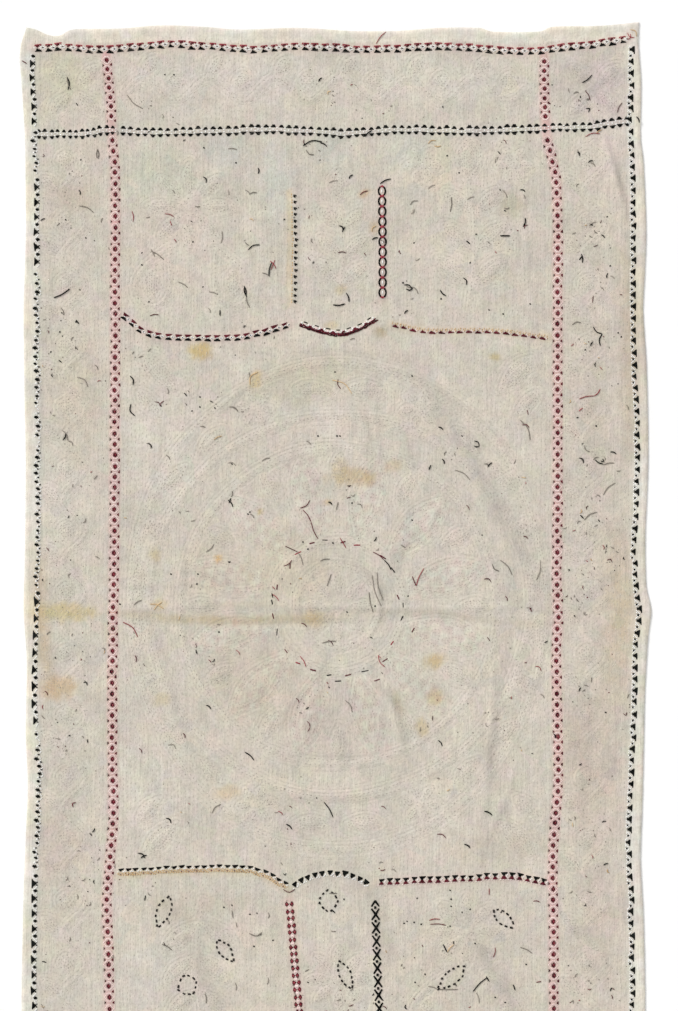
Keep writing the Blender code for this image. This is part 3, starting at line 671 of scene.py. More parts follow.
def triangles(turned):
    """Above nought inside one set of small triangles and below it in the set between them."""
    row, up = np.divmod(turned[:, 0], TRIANGLE)
    return 1 - np.abs(((turned[:, 1] / TRIANGLE + 0.5 * (row % 2)) % 1.0) * 2 - 1) - up / TRIANGLE


for base, angle, length, width, checked in fillings:
    if checked:
        turned = along_and_across(places, base, angle)
        inside = (np.abs(turned[:, 0] / length - 0.5) < 0.5) & (np.abs(turned[:, 1]) < width * 0.5)
        pale = np.clip(3 * triangles(turned[inside]), -1, 1)[:, None]
        light[inside] *= 1 + pale * np.array((0.02, 0.06, 0.045))
# The hem was folded in under the rest for years, so it is paler, with a yellow cast here and there.
pale_width = np.where(from_end < 30, 20.0, 13.0)
in_hem = np.clip((pale_width - to_rim) / 8 + 1, 0, 1)
sallow = np.clip(0.5 + 1.5 * wander(places, 60.0, 21.0), 0, 1)
paler = np.stack((0.22 + 0 * sallow, 0.26 - 0.02 * sallow, 0.32 - 0.12 * sallow), axis=1)
light *= 1 + in_hem[:, None] * paler * (0.8 + 0.5 * ragged)[:, None]
# A round pale spot by the right edge, where something once lay.
pale_spot = np.clip(8.5 - np.linalg.norm(places - on_cloth((608, 617)), axis=1) / PIXEL, 0, 1)
stain_and_shade(pale_spot, (-0.1, -0.1, -0.12))

# The mesh: the upper face takes its height, and its rim is drawn down to the table and closed underneath.
seed[:, :2] = places
seed[:, 2] = height
cloth.data.vertices.foreach_set("co", (seed * mm).ravel())
tint = cloth.data.color_attributes.new("worn_tint", "FLOAT_COLOR", "POINT")
tint.data.foreach_set("color", np.hstack((light, np.ones((len(light), 1)))).ravel())
echo = cloth.data.attributes.new("echo_distance", "FLOAT", "POINT")
echo.data.foreach_set("value", to_line)
bpy.ops.object.mode_set(mode="EDIT")
bpy.ops.mesh.select_mode(type="EDGE")
bpy.ops.mesh.select_all(action="DESELECT")
bpy.ops.mesh.select_non_manifold()
for lift in (-0.6, 0.0):
    bpy.ops.mesh.extrude_edges_move(TRANSFORM_OT_translate={"value": (0, 0, lift * mm)})
bpy.ops.mesh.edge_face_add()
bpy.ops.object.mode_set(mode="OBJECT")
whole = np.zeros(len(cloth.data.vertices) * 3)
cloth.data.vertices.foreach_get("co", whole)
whole = whole.reshape(-1, 3)
wall = (COLUMNS + ROWS) * 2
whole[-wall:, 2] = 0.0
whole[-2 * wall:-wall, 2] = 0.6 * mm
cloth.data.vertices.foreach_set("co", whole.ravel())
bpy.ops.object.mode_set(mode="EDIT")
bpy.ops.mesh.select_all(action="SELECT")
bpy.ops.mesh.normals_make_consistent(inside=False)
bpy.ops.object.mode_set(mode="OBJECT")
cloth.data.shade_smooth()
cloth.data.set_sharp_from_angle(angle=math.radians(62))
if cloth.data.uv_layers:
    cloth.data.uv_layers.remove(cloth.data.uv_layers[0])

cotton, tree, shader = new_finish("worn quilted cotton")
place = wire(tree, "ShaderNodeTexCoord").outputs["Object"]
worn = wire(tree, "ShaderNodeAttribute", attribute_name="worn_tint").outputs["Color"]
distance = wire(tree, "ShaderNodeAttribute", attribute_name="echo_distance").outputs["Fac"]


def pattern(tree, place, sizes, detail=3.0, rough=0.55, output="Fac"):
    """Noise with spots of these sizes in millimetres along x, y and z."""
    scale = tuple(1 / (size * mm) for size in sizes)
    scaled = wire(tree, "ShaderNodeMapping", {"Vector": place, "Scale": scale}).outputs[0]
    feeds = {"Vector": scaled, "Scale": 1.0, "Detail": detail, "Roughness": rough}
    return wire(tree, "ShaderNodeTexNoise", feeds).outputs[output]


streaks = pattern(tree, place, (5.0, 70.0, 40.0))
threads = pattern(tree, place, (2.0, 20.0, 40.0), 2.0)
speckle = pattern(tree, place, (3.0, 3.6, 3.2), 2.0)
puckers = pattern(tree, place, (9.0, 12.0, 12.0), 2.0)
clouds = pattern(tree, place, (34.0, 42.0, 60.0), 2.0)
broad = pattern(tree, place, (120.0, 150.0, 150.0), 2.0)
tints = pattern(tree, place, (17.0, 20.0, 20.0), 3.0, output="Color")
shifted = blended(tree, 0.012, place, pattern(tree, place, (30.0, 30.0, 30.0), 2.0, output="Color"))
feeds = {"Vector": shifted, "Scale": 42.0, "Randomness": 0.9}
patches = wire(tree, "ShaderNodeTexVoronoi", feeds).outputs["Color"]
patch_tone = wire(tree, "ShaderNodeSeparateColor", {0: patches}).outputs[0]
ECHO_GAP = 5.5
rows = maths(tree, "SINE", maths(tree, "MULTIPLY", distance, 2 * math.pi / ECHO_GAP))
near_line = maths(tree, "MULTIPLY_ADD", distance, -0.09, 1.5)
near_line.node.use_clamp = True
ribs = blended(tree, near_line, streaks, maths(tree, "MULTIPLY_ADD", rows, 0.12, 0.5))
feeds = {"Vector": place, "Scale": 180.0, "Distortion": 0.4}
warp, weft = (wire(tree, "ShaderNodeTexWave", feeds, bands_direction=way).outputs["Fac"] for way in "XY")
weave = maths(tree, "ADD", warp, weft)

tone = 1.0
for layer, amount in (
    (ribs, 0.22), (threads, 0.24), (speckle, 0.37), (puckers, 0.25), (clouds, 0.22), (broad, 0.16),
    (patch_tone, 0.05), (weave, 0.02)
):
    middle_value = 1.0 if layer is weave else 0.5
    tone = maths(tree, "ADD", maths(tree, "MULTIPLY_ADD", layer, amount, -amount * middle_value), tone)
faded = blended(tree, 0.068, (0.5, 0.5, 0.5, 1), tints)
faded = blended(tree, 0.018, faded, patches)
dyed = wire(tree, "ShaderNodeVectorMath", {0: faded, 1: (2.0, 2.0, 2.0)}, operation="MULTIPLY").outputs[0]
base = blended(tree, 1.0, (0.6, 0.548, 0.469, 1), dyed, "MULTIPLY")
base = blended(tree, 1.0, base, worn, "MULTIPLY")
toned = wire(tree, "ShaderNodeVectorMath", {0: base, "Scale": tone}, operation="SCALE").outputs[0]
tree.links.new(toned, shader.inputs["Base Color"])
puffs = maths(tree, "MULTIPLY_ADD", speckle, 0.6, maths(tree, "MULTIPLY_ADD", weave, 0.05, ribs))
puffs = maths(tree, "MULTIPLY_ADD", threads, 0.5, puffs)
bump = wire(tree, "ShaderNodeBump", {"Strength": 0.6, "Distance": 0.0016, "Height": puffs})
tree.links.new(bump.outputs[0], shader.inputs["Normal"])
shader.inputs["Roughness"].default_value = 0.92
shader.inputs["Specular IOR Level"].default_value = 0.2
shader.inputs["Sheen Weight"].default_value = 0.15
cloth.data.materials.append(cotton)
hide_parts("kantha")
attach(cloth, "root")

# Running stitches: short lengths of thread over the cloth, each dipping into it at both ends. Every
# stitch is a small closed grain with its own patch of the thread's map. All that follows is sewn with them.
upper_faces = [tuple(face.vertices) for face in cloth.data.polygons][:COLUMNS * ROWS]
cloth_tree = BVHTree.FromPolygons([tuple(corner) for corner in whole], upper_faces)
hand = np.random.default_rng(1897)


def cloth_height(places):
    """Height of the cloth's face at each place."""
    down = Vector((0, 0, -1))
    heights = np.zeros(len(places))
    for index, (x, y) in enumerate(places):
        found = cloth_tree.ray_cast(Vector((x * mm, y * mm, 0.1)), down)[0]
        heights[index] = found.z / mm if found else THICKNESS
    return heights


def stitch_seed(sides):
    """One grain, a small blunt ball with its poles along x: its corners, triangles and their map."""
    bpy.ops.object.select_all(action="DESELECT")
    bpy.ops.mesh.primitive_uv_sphere_add(segments=sides, ring_count=3, radius=1.0)
    ball = bpy.context.object
    bpy.ops.object.mode_set(mode="EDIT")
    bpy.ops.mesh.select_all(action="SELECT")
    bpy.ops.mesh.quads_convert_to_tris()
    bpy.ops.object.mode_set(mode="OBJECT")
    corners = np.array([corner.co for corner in ball.data.vertices])
    faces = np.array([face.vertices[:] for face in ball.data.polygons])
    patch = np.array([spot.uv[:] for spot in ball.data.uv_layers[0].data])
    bpy.data.objects.remove(ball)
    blunt = np.where(np.abs(corners[:, 2]) > 0.9, 1.0, 1.36) * corners[:, 2]
    patch = patch.reshape(-1, 3, 2)[:, ::-1].reshape(-1, 2)
    return np.stack((blunt, corners[:, 1], corners[:, 0]), axis=1), faces[:, ::-1], patch


SEEDS = {sides: stitch_seed(sides) for sides in (3, 5)}


def thread_piece(name, corners, faces, spots, twist, shades, finish):
    """A piece of thread from its corners, triangles, two maps and the shade at each corner."""
    mesh = bpy.data.meshes.new(name)
    mesh.from_pydata((corners * mm).tolist(), [], faces.tolist())
    mesh.uv_layers.new(name="OFBake").data.foreach_set("uv", spots.ravel())
    mesh.uv_layers.new(name="thread").data.foreach_set("uv", twist.ravel())
    mesh.attributes.new("shade", "FLOAT", "POINT").data.foreach_set("value", shades)
    mesh.shade_smooth()
    mesh.materials.append(finish)
    piece = bpy.data.objects.new(name, mesh)
    bpy.context.scene.collection.objects.link(piece)
    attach(piece, "root")


def sew(name, stitches, finish, sides=5, plump=0.55, dip=0.5):
    """Joins stitches into one piece. Each is x, y, angle, length, width and shade."""
    stitches = np.array(stitches, dtype=float)
    corners, faces, patch = SEEDS[sides]
    middle, angle = stitches[:, :2], stitches[:, 2]
    half, width = stitches[:, 3] / 2, stitches[:, 4]
    ahead = np.stack((np.cos(angle), np.sin(angle)), axis=1)
    sideways = np.stack((-ahead[:, 1], ahead[:, 0]), axis=1)
    levels = [cloth_height(middle + reach * half[:, None] * ahead) for reach in (-0.9, 0.0, 0.9)]
    far, wide, tall = corners[:, 0], corners[:, 1], corners[:, 2]
    flat = (
        middle[:, None, :]
        + (half[:, None] * far)[..., None] * ahead[:, None, :]
        + (width[:, None] / 2 * wide)[..., None] * sideways[:, None, :]
    )
    lean = (levels[2] - levels[0]) / 1.8
    bow = levels[1] - (levels[0] + levels[2]) / 2
    z = (
        ((levels[0] + levels[2]) / 2)[:, None] + lean[:, None] * far + bow[:, None] * (1 - far**2)
        + width[:, None] * (plump * tall / 2 + 0.12 - dip * (np.abs(far) > 0.9))
    )
    shape = np.concatenate((flat, z[..., None]), axis=2).reshape(-1, 3)
    count = len(stitches)
    joined = (faces[None] + (np.arange(count) * len(corners))[:, None, None]).reshape(-1, 3)
    side = math.ceil(math.sqrt(count))
    cell = np.stack((np.arange(count) % side, np.arange(count) // side), axis=1)
    spots = (cell[:, None, :] + 0.1 + 0.8 * patch[None]) / side
    twist = patch[None] * np.stack((np.ones(count), stitches[:, 3] / 1.4), axis=1)[:, None, :]
    thread_piece(name, shape, joined, spots, twist, np.repeat(stitches[:, 5], len(corners)), finish)


twisted = bpy.data.node_groups.new("twisted thread", "ShaderNodeTree")
for name, kind in (("Shadow", "NodeSocketColor"), ("Lit", "NodeSocketColor"), ("Fade", "NodeSocketFloat")):
    twisted.interface.new_socket(name, in_out="INPUT", socket_type=kind)
for name, kind in (("Colour", "NodeSocketColor"), ("Height", "NodeSocketFloat")):
    twisted.interface.new_socket(name, in_out="OUTPUT", socket_type=kind)
given, result = wire(twisted, "NodeGroupInput"), wire(twisted, "NodeGroupOutput")
spot = wire(twisted, "ShaderNodeUVMap", uv_map="thread").outputs[0]
parts = wire(twisted, "ShaderNodeSeparateXYZ", {0: spot})
ply = maths(twisted, "MULTIPLY_ADD", parts.outputs[0], 2.0, parts.outputs[1])
ply = maths(twisted, "ABSOLUTE", maths(twisted, "SINE", maths(twisted, "MULTIPLY", ply, math.pi)))
shade = wire(twisted, "ShaderNodeAttribute", attribute_name="shade").outputs["Fac"]
fuzz_place = wire(twisted, "ShaderNodeTexCoord").outputs["Object"]
fuzz = pattern(twisted, fuzz_place, (2.5, 2.5, 2.5), 2.0)
amount = maths(twisted, "MULTIPLY_ADD", fuzz, given.outputs["Fade"], shade)
# The ply stripes make the colour darker in the grooves between the plies and lighter on their crests:
# painted shade and painted highlight of the twist.
amount = maths(twisted, "MULTIPLY_ADD", ply, 0.25, maths(twisted, "SUBTRACT", amount, 0.15))
amount.node.use_clamp = True
dye = blended(twisted, amount, given.outputs["Shadow"], given.outputs["Lit"])
twisted.links.new(dye, result.inputs["Colour"])
twisted.links.new(ply, result.inputs["Height"])


def thread(name, shadow, lit, fade=0.3, gloss=0.25):
    """A spun cotton thread, from its darkest to its most faded colour."""
    material, tree, shader = new_finish(name)
    spun = wire(tree, "ShaderNodeGroup", node_tree=twisted)
    spun.inputs["Shadow"].default_value = (*shadow, 1)
    spun.inputs["Lit"].default_value = (*lit, 1)
    spun.inputs["Fade"].default_value = fade
    tree.links.new(spun.outputs["Colour"], shader.inputs["Base Color"])
    feeds = {"Strength": 0.4, "Distance": 0.0003, "Height": spun.outputs["Height"]}
    tree.links.new(wire(tree, "ShaderNodeBump", feeds).outputs[0], shader.inputs["Normal"])
    shader.inputs["Roughness"].default_value = 0.85
    shader.inputs["Specular IOR Level"].default_value = gloss
    shader.inputs["Sheen Weight"].default_value = gloss / 3
    return material


def running(path, stitch, gap, width, shade=0.5, wobble=0.25, uneven=0.2):
    """Stitches along a path, with the slips and uneven steps of a hand."""
    run = run_of(path)
    most = int(run[-1] / (stitch + gap)) + 1
    lengths = stitch * hand.uniform(1 - uneven, 1 + uneven, most)
    pauses = gap * hand.uniform(1 - 1.5 * uneven, 1 + 1.5 * uneven, most)
    middles = np.cumsum(lengths + pauses) - lengths / 2 - pauses[0] / 2
    kept = middles < run[-1]
    middles, lengths = middles[kept], lengths[kept]
    x, y = points_at(path, run, middles).T
    run_x, run_y = (points_at(path, run, middles + 1) - points_at(path, run, middles - 1)).T
    count = len(middles)
    return np.stack((
        x + hand.normal(0, wobble, count), y + hand.normal(0, wobble, count),
        np.arctan2(run_y, run_x) + hand.normal(0, 0.07, count), lengths,
        width * hand.uniform(0.85, 1.1, count), shade + hand.normal(0, 0.17, count),
    ), axis=1)


# The quilting stitches. Undyed thread runs in upright rows over the plain ground, bends round each motif in
# echoing rows, and follows the motifs' outlines. Rows of smaller, greyer stitches fill the leaves.
cream_thread = thread("undyed thread", (0.53, 0.485, 0.41), (0.7, 0.65, 0.57))
grey_thread = thread("soiled undyed thread", (0.3, 0.262, 0.235), (0.58, 0.525, 0.46))
outline_stitches = [running(smooth_line(path, 4.0), 3.2, 3.0, 1.0, 0.6, 0.5) for path in needle_lines]
sew("outline_quilting", np.vstack(outline_stitches), grey_thread, sides=3)
fill_stitches = []
for base, angle, length, width, checked in fillings:
    ahead, across = axes_at(angle)
    row_gap = 4.2 if checked else 3.4
    half_rows = int((width / 2 - 2.5) // row_gap)
    for offset in np.arange(-half_rows, half_rows + 1) * row_gap:
        reach = math.sqrt(max(0.0, 1 - (abs(offset) / (width / 2)) ** 1.4))
        start, end = 0.5 - 0.42 * reach, 0.5 + 0.42 * reach
        if (end - start) * length > 6.0:
            ends = [base + share * length * ahead + offset * across for share in (start, end)]
            row = running(np.array(ends), 2.0, 2.6, 0.9, 0.45, 0.45, 0.3)
            if checked:
                row = row[triangles(along_and_across(row[:, :2], base, angle)) < 0.1]
            fill_stitches.append(row)
sew("leaf_quilting", np.vstack(fill_stitches), grey_thread, sides=3)

# Leaves picked out in the lower panels, each with one round of dark running stitch along its edge. Columns:
# x, y, length, width, angle.
dark_outlines = []
for x, y, length, width, angle in (
    (-262, -470, 50, 20, 1.2), (-150, -520, 40, 18, 2.2), (-232, -560, 30, 30, 0.4),
    (-10, -448, 34, 26, 1.6), (24, -560, 46, 18, 2.0), (150, -560, 52, 20, 0.7), (262, -470, 40, 18, 2.4),
):
    share = np.concatenate((np.linspace(0, 1, 9), np.linspace(1, 0, 9)))
    side = np.repeat((1, -1), 9) * fullness(share) * width / 2
    ahead, across = axes_at(angle)
    path = (x, y) + share[:, None] * length * ahead + side[:, None] * across
    dark_outlines.append(running(path, 5.2, 2.6, 3.4, 0.2, 0.4))
dark_thread = thread("dark outline thread", (0.005, 0.005, 0.005), (0.07, 0.06, 0.055), gloss=0.0)
sew("dark_outlines", np.vstack(dark_outlines), dark_thread)

# The ground between the motifs: upright rows from end to end, left off at the hem, the borders and the
# leaves, and bent into rows that echo each quilting line near by.
ROW_GAP = 5.9
ECHO_REACH, ECHO_ROW = 15.0, 5.0
HEM_CLEARANCE, BORDER_CLEARANCE = 16, 8.5
rows_up = []
for number in np.arange(-75, 76):
    upright = np.array(((number * ROW_GAP, -845.0), (number * ROW_GAP, 845.0)))
    row = running(upright, 4.2, 4.4, 0.9, 0.5, 0.4, 0.35)
    row[:, 0] += 4.0 * wander(row[:, :2], 60.0, 5.0, 3.0) + 1.2 * wander(row[:, :2], 14.0, 8.0, 2.0)
    rows_up.append(row)
ground = np.vstack(rows_up)
spots = ground[:, :2]
clear = along(spots, outline, closed=True)[0] > HEM_CLEARANCE
for line in border_lines:
    near = near_to(spots, line, 12)
    clear[near] &= along(spots[near], line)[0] > BORDER_CLEARANCE
for base, angle, length, width, checked in fillings:
    turned = along_and_across(spots, base, angle)
    clear &= np.abs(turned[:, 1]) > fullness(np.clip(turned[:, 0] / length, 0, 1)) * width / 2
for index in np.flatnonzero(clear):
    x, y = spots[index]
    found, _, distance = line_tree.find((x, y, 0.0))
    if distance < ECHO_REACH:
        away = np.array((x - found.x, y - found.y)) / max(distance, 0.1)
        spots[index] += (max(ECHO_ROW, round(distance / ECHO_ROW) * ECHO_ROW) - distance) * away
        ground[index, 2] = math.atan2(away[0], -away[1]) + hand.normal(0, 0.08)
        clear[index] = distance > 2.0
ground = ground[clear]
upper = ground[:, 1] > 0
sew("upper_ground_quilting", ground[upper], cream_thread, sides=3, plump=0.45, dip=0.35)
sew("lower_ground_quilting", ground[~upper], cream_thread, sides=3, plump=0.45, dip=0.35)

# The borders are counted stitches: rows of long and short ones that build triangles, diamonds and dots. A
# chart gives one repeat, a letter to each step along the border and a line to each row across it, the first
# on the left of the way that the border runs.
COLOURS = {}
for letter, colour, name, slot, shadow, lit, gloss in (
    ("r", "red", "faded red thread", "red_thread", (0.16, 0.012, 0.02), (0.5, 0.1, 0.12), 0.1),
    ("m", "maroon", "maroon thread", "red_thread", (0.035, 0.005, 0.009), (0.2, 0.03, 0.045), 0.05),
    ("k", "black", "black thread", "dark_thread", (0.002, 0.002, 0.002), (0.02, 0.022, 0.02), 0.0),
    ("g", "grey", "faded black thread", "dark_thread", (0.11, 0.095, 0.08), (0.42, 0.37, 0.32), 0.0),
    ("w", "white", "white thread", "white_thread", (0.78, 0.77, 0.74), (0.95, 0.95, 0.93), 0.25),
    ("p", "pink", "bled pink thread", "white_thread", (0.7, 0.45, 0.43), (0.95, 0.8, 0.77), 0.25),
    ("o", "ochre", "ochre thread", "ochre_thread", (0.46, 0.28, 0.11), (0.82, 0.62, 0.38), 0.25),
):
    COLOURS[letter] = (colour, thread(name, shadow, lit, gloss=gloss), slot)
CHARTS = {
    "hourglass": """
        rrrrrrrrrr.
        .rrmmmmrr..
        ..mmmmm..w.
        w..mm..ww.w
        ww....ww.kk
        w..kk..ww.w
        ..kkkkk..w.
        .kkkkkkkk..
        kkkkkkkkkk.
    """.split(),
    "two rows of peaks": """
        ..kkk..
        .kkkkk.
        kkkkkkk
        w.....w
        ...w...
        ...w...
        w.....w
        kkkkkkk
        .kkkkk.
        ..kkk..
    """.split(),
    "diamonds in a lattice": """
        mm...pp...mm
        m...p..p...m
        ..pp....pp..
        .pp.mmmm.pp.
        .p.mmrrmm.p.
        .p.mmmmmm.p.
        .pp.mmmm.pp.
        ..pp....pp..
        m...p..p...m
        gg...pp...gg
    """.split(),
    "triangles and dots": """
        kkkkkkkkkk..
        .kkkkkkk....
        ..kkkkk..w.w
        w..kkk..w.kk
        .w.kkk.w..kk
        ..w...w.w..w
    """.split(),
    "long triangles and dots": """
        kkkkkkkkkkkk....
        ..kkkkkkkk..w..w
        ...kkkkkk..w.kk.
        w...kkkk..w.kkkk
        .w...kk..w..kkkk
        ..w.k..kw..w.kk.
    """.split(),
    "dots in two rows": """
        ...kk....
        ..kkkk.w.
        .kkkkk..w
        ..kkkk.w.
        ..kk....k
        w....w..k
        .w..w....
    """.split(),
}


def charted(path, chart, repeat, row_gap, width=1.8, uneven=0.12, missing=0.0, slip=0.4):
    """Stitches for a border worked from its chart, by the letter of their colour."""
    run = run_of(path)
    repeats = max(1, round(run[-1] / repeat))
    cell = run[-1] / repeats / len(chart[0])
    sizes = 1 - uneven * hand.random(repeats)
    slips = hand.normal(0, slip, (repeats, 2))
    shades = hand.normal(0.3, 0.12, repeats)
    left_out = hand.random(repeats) < missing
    sewn = {}
    for number, line in enumerate(chart):
        offset = ((len(chart) - 1) / 2 - number) * row_gap
        # The line is read from a change of colour, so that no stitch is cut where one repeat meets the next.
        first = next((index for index in range(len(line)) if line[index] != line[index - 1]), 0)
        for letter, cells in groupby(line[first:] + line[:first]):
            count = len(list(cells))
            first += count
            for turn in range(repeats) if letter != "." else ():
                middle = (turn * len(line) + first - count / 2) * cell
                middle += slips[turn, 0] + hand.normal(0, 0.15)
                pale = letter in "wp"
                if not 0 <= middle <= run[-1] or (left_out[turn] and not pale):
                    continue
                back, here, fore = points_at(path, run, middle + np.array((-2.5, 0.0, 2.5)))
                angle = math.atan2(fore[1] - back[1], fore[0] - back[0])
                side = offset * sizes[turn] + slips[turn, 1]
                length = max(count * cell * sizes[turn], 1.3) + hand.uniform(-0.4, 0.3)
                sewn.setdefault(letter, []).append((
                    here[0] - side * math.sin(angle), here[1] + side * math.cos(angle),
                    angle + hand.normal(0, 0.05), length + 0.7,
                    width * hand.uniform(0.85, 1.15) * (0.9 if pale else 1.0),
                    shades[turn] + hand.normal(0, 0.1) + (0.3 if pale else 0.0),
                ))
    return sewn


def sew_borders(name, *borders):
    """Joins charted borders into one piece for each colour of thread."""
    for letter, (colour, finish, slot) in COLOURS.items():
        stitches = [stitch for sewn in borders for stitch in sewn.get(letter, ())]
        if stitches:
            sew(f"{name}_{colour}", stitches, finish)


def between(path, low, high):
    """The stretch of an upright border between two heights."""
    return path[(path[:, 1] > low) & (path[:, 1] < high)]


def lattice(path):
    """An inner border, worked closer in the end bands, and left off where the cross borders run."""
    return [
        charted(between(path, low, high), CHARTS["diamonds in a lattice"], repeat, row_gap)
        for low, high, repeat, row_gap in (
            (712, 815, 14.2, 1.5), (-695, 697, 15.9, 1.55), (-815, -712, 14.2, 1.5),
        )
    ]


hourglass = (CHARTS["hourglass"], 15.1, 1.35, 1.65, 0.2)
sew_borders("end_border", charted(TOP_BORDER, *hourglass), charted(BOTTOM_BORDER[::-1], *hourglass))
# The second border is worked closer in the corner than along the rest.
in_corner = SECOND_BORDER[:, 0] < -322
sew_borders("second_border", *(
    charted(path, CHARTS["two rows of peaks"], repeat, 1.6, 1.8, 0.25)
    for path, repeat in (
        (SECOND_BORDER[in_corner], 9.4), (SECOND_BORDER[~in_corner], 11.0), (THIRD_BORDER, 11.0),
    )
))
sew_borders("inner_border", *lattice(INNER_LEFT_BORDER), *lattice(INNER_RIGHT_BORDER))
# The left outer border changes from long triangles to dots and back. Columns: its lower and upper height,
# chart, repeat, and the rest of what the chart is worked with.
LONG, DOTS = CHARTS["long triangles and dots"], CHARTS["dots in two rows"]
sew_borders(
    "outer_border",
    charted(OUTER_RIGHT_BORDER, CHARTS["triangles and dots"], 17.2, 1.5, 2.3, 0.25, 0.0, 0.7),
    *(
        charted(between(OUTER_LEFT_BORDER, low, high)[::-1], chart, repeat, *rest)
        for low, high, chart, repeat, *rest in (
            (706, 820, LONG, 19.3, 1.4, 2.3, 0.25), (497, 636, LONG, 22.0, 1.4, 2.3, 0.25),
            (-179, 26, LONG, 24.0, 1.4, 2.3, 0.25), (-820, -385, LONG, 22.0, 1.4, 2.3, 0.25),
            (636, 706, DOTS, 11.6, 1.5, 2.3, 0.55, 0.06, 1.2),
            (26, 497, DOTS, 11.6, 1.5, 2.3, 0.55, 0.06, 1.2),
            (-385, -179, DOTS, 11.6, 1.5, 2.3, 0.55, 0.06, 1.2),
        )
    ),
)

# The arcs over and under the medallion and the four bars between the panels are counted stitches too, each
# arc and bar in a pattern of its own. The charts of the arcs follow, three above and three below.
ARC_CHARTS = (
    """
        mmmmmmmmmm.
        .mmmmmmm...
        ..mmmm...w.
        w...ww..wkw
        ...kkkk..w.
        .kkkkkkkk..
        kkkkkkkkkk.
    """.split(),
    """
        ..kkkk..
        pw....wp
        mw.pp.wm
        mmwppwmm
        ........
        ........
        ........
    """.split(),
    """
        o.....o....
        ...o.....o.
        o....o.....
        p..mm..p..o
        .mmmmmmm.p.
        mmmmmmmmmm.
    """.split(),
    """
        ........
        kkkkkkkk
        .kkkkkk.
        ..kkk..w
        w.....w.
        .o.o...o
        o...oo..
        .o.m..o.
        o.oo.o.o
    """.split(),
    """
        kkkkkkkk
        kkkkkkkk
        .kkkkkk.
        .kkkkk.w
        ..kkk..w
        ...k..w.
        w...ww..
    """.split(),
    """
        kkkkkkkkk
        .kkkkkkk.
        ..kkkk..w
        ...kk..w.
        ..mmmm.p.
        .mmmmmm.p
        mmmmmmmm.
        p..p..p..
    """.split(),
)
# For each arc, the length of one repeat and the distance from row to row.
ARC_PITCHES = ((14.1, 1.4), (15.8, 1.5), (13.9, 1.35), (11.3, 1.4), (11.2, 1.4), (11.9, 1.45))
arcs = [charted(path, chart, *pitch, 2.0, 0.2) for path, chart, pitch in zip(ARCS, ARC_CHARTS, ARC_PITCHES)]
# Under the second arc's bowls runs a solid band of overlapping back stitches.
for offset, letter in ((-1.3, "m"), (-2.4, "m"), (-3.5, "k"), (-4.6, "m")):
    arcs[1].setdefault(letter, []).extend(running(beside(ARCS[1], offset), 5.5, -1.6, 2.0, 0.3, 0.35))
sew_borders("arc", *arcs)


def link_chain(path, half_width, repeat, apart, crossing, roundness, dotted):
    """Two strands that swing apart and cross, in one colour where they are apart and one where they meet."""
    run = run_of(path)
    links = round(run[-1] / repeat)
    line = points_at(path, run, np.linspace(0, run[-1], links * 10 + 1))
    wave = np.sin(np.linspace(0, links * math.pi, len(line)))
    if dotted:
        wave = np.arcsin(wave) / (math.pi / 2)
    swing = half_width * np.sign(wave) * np.abs(wave) ** roundness
    unit = beside(line, 1.0) - line
    sewn = {apart: [], crossing: []}
    for side in (-1, 1):
        strand = line + unit * (side * swing)[:, None]
        middles, steps = (strand[1:] + strand[:-1]) / 2, np.diff(strand, axis=0)
        reaches = np.abs((swing[1:] + swing[:-1]) / 2) / half_width
        for (x, y), (over, up), reach in zip(middles, steps, reaches):
            if dotted and reach > 0.85:
                continue
            width = 4.3 - 1.5 * reach if dotted else 3.3
            sewn[apart if reach > 0.6 else crossing].append((
                x, y, math.atan2(up, over), math.hypot(over, up) + 1.6, width * hand.uniform(0.85, 1.1),
                hand.normal(0.2, 0.1),
            ))
    # A dotted link holds one dot. Any other holds a white stitch, with pink beside it where red has bled.
    for x, y in line[5::10]:
        letter, *size = (apart, 5.0, 4.4, 0.2) if dotted else ("w", 6.0, 2.0, 0.6)
        sewn.setdefault(letter, []).append((x, y, math.pi / 2, *size))
    for x, y in () if dotted else line[10:-1:10]:
        sewn.setdefault("p", []).extend((x + side, y, math.pi / 2, 4.5, 1.8, 0.3) for side in (-3.6, 3.6))
    return sewn


BAR_CHARTS = (
    """
        .oo.oo..
        ........
        .kkkk...
        kkkkk...
        ..kk....
    """.split(),
    """
        ..mmmm..
        .mmrrmm.
        ..mrrm..
        pp.mm.pp
        p.p..p.p
        pp.mm.pp
        ..mrrm..
        .mmrrmm.
        ..mmmm..
    """.split(),
)
sew_borders(
    "bar",
    charted(BARS[0][::-1], BAR_CHARTS[0], 9.2, 1.75, 1.9),
    link_chain(BARS[1], 5.0, 15.0, "k", "r", 0.55, False),
    charted(BARS[2], BAR_CHARTS[1], 10.3, 1.4, 1.9, 0.2),
    link_chain(BARS[3], 6.8, 19.0, "k", "k", 1.0, True),
)

# A broken ring of single dark and red stitches round the hub of the medallion, each sewn through once and
# loosely. Columns: the picture's x and y.
RING_STITCHES = (
    (312, 543), (325, 540), (343, 542), (357, 545), (383, 557), (393, 570), (398, 597), (403, 605),
    (413, 630), (392, 643), (377, 680), (365, 671), (348, 675), (329, 675), (313, 670), (298, 663),
    (286, 651), (277, 632), (273, 616), (272, 602), (277, 587), (298, 553), (290, 566), (402, 618),
    (385, 660), (338, 681),
)
ring_stitches = {"m": [], "k": [], "r": []}
for index, (x, y) in enumerate(on_cloth(RING_STITCHES)):
    angle = math.atan2(y - MIDDLE[1], x - MIDDLE[0])
    ring_stitches["mkmrmk"[index % 6]].append((
        x, y, angle + math.pi / 2 + hand.normal(0, 0.3), hand.uniform(9, 14), hand.uniform(1.6, 2.3), 0.3
    ))
sew_borders("hub_ring", ring_stitches)

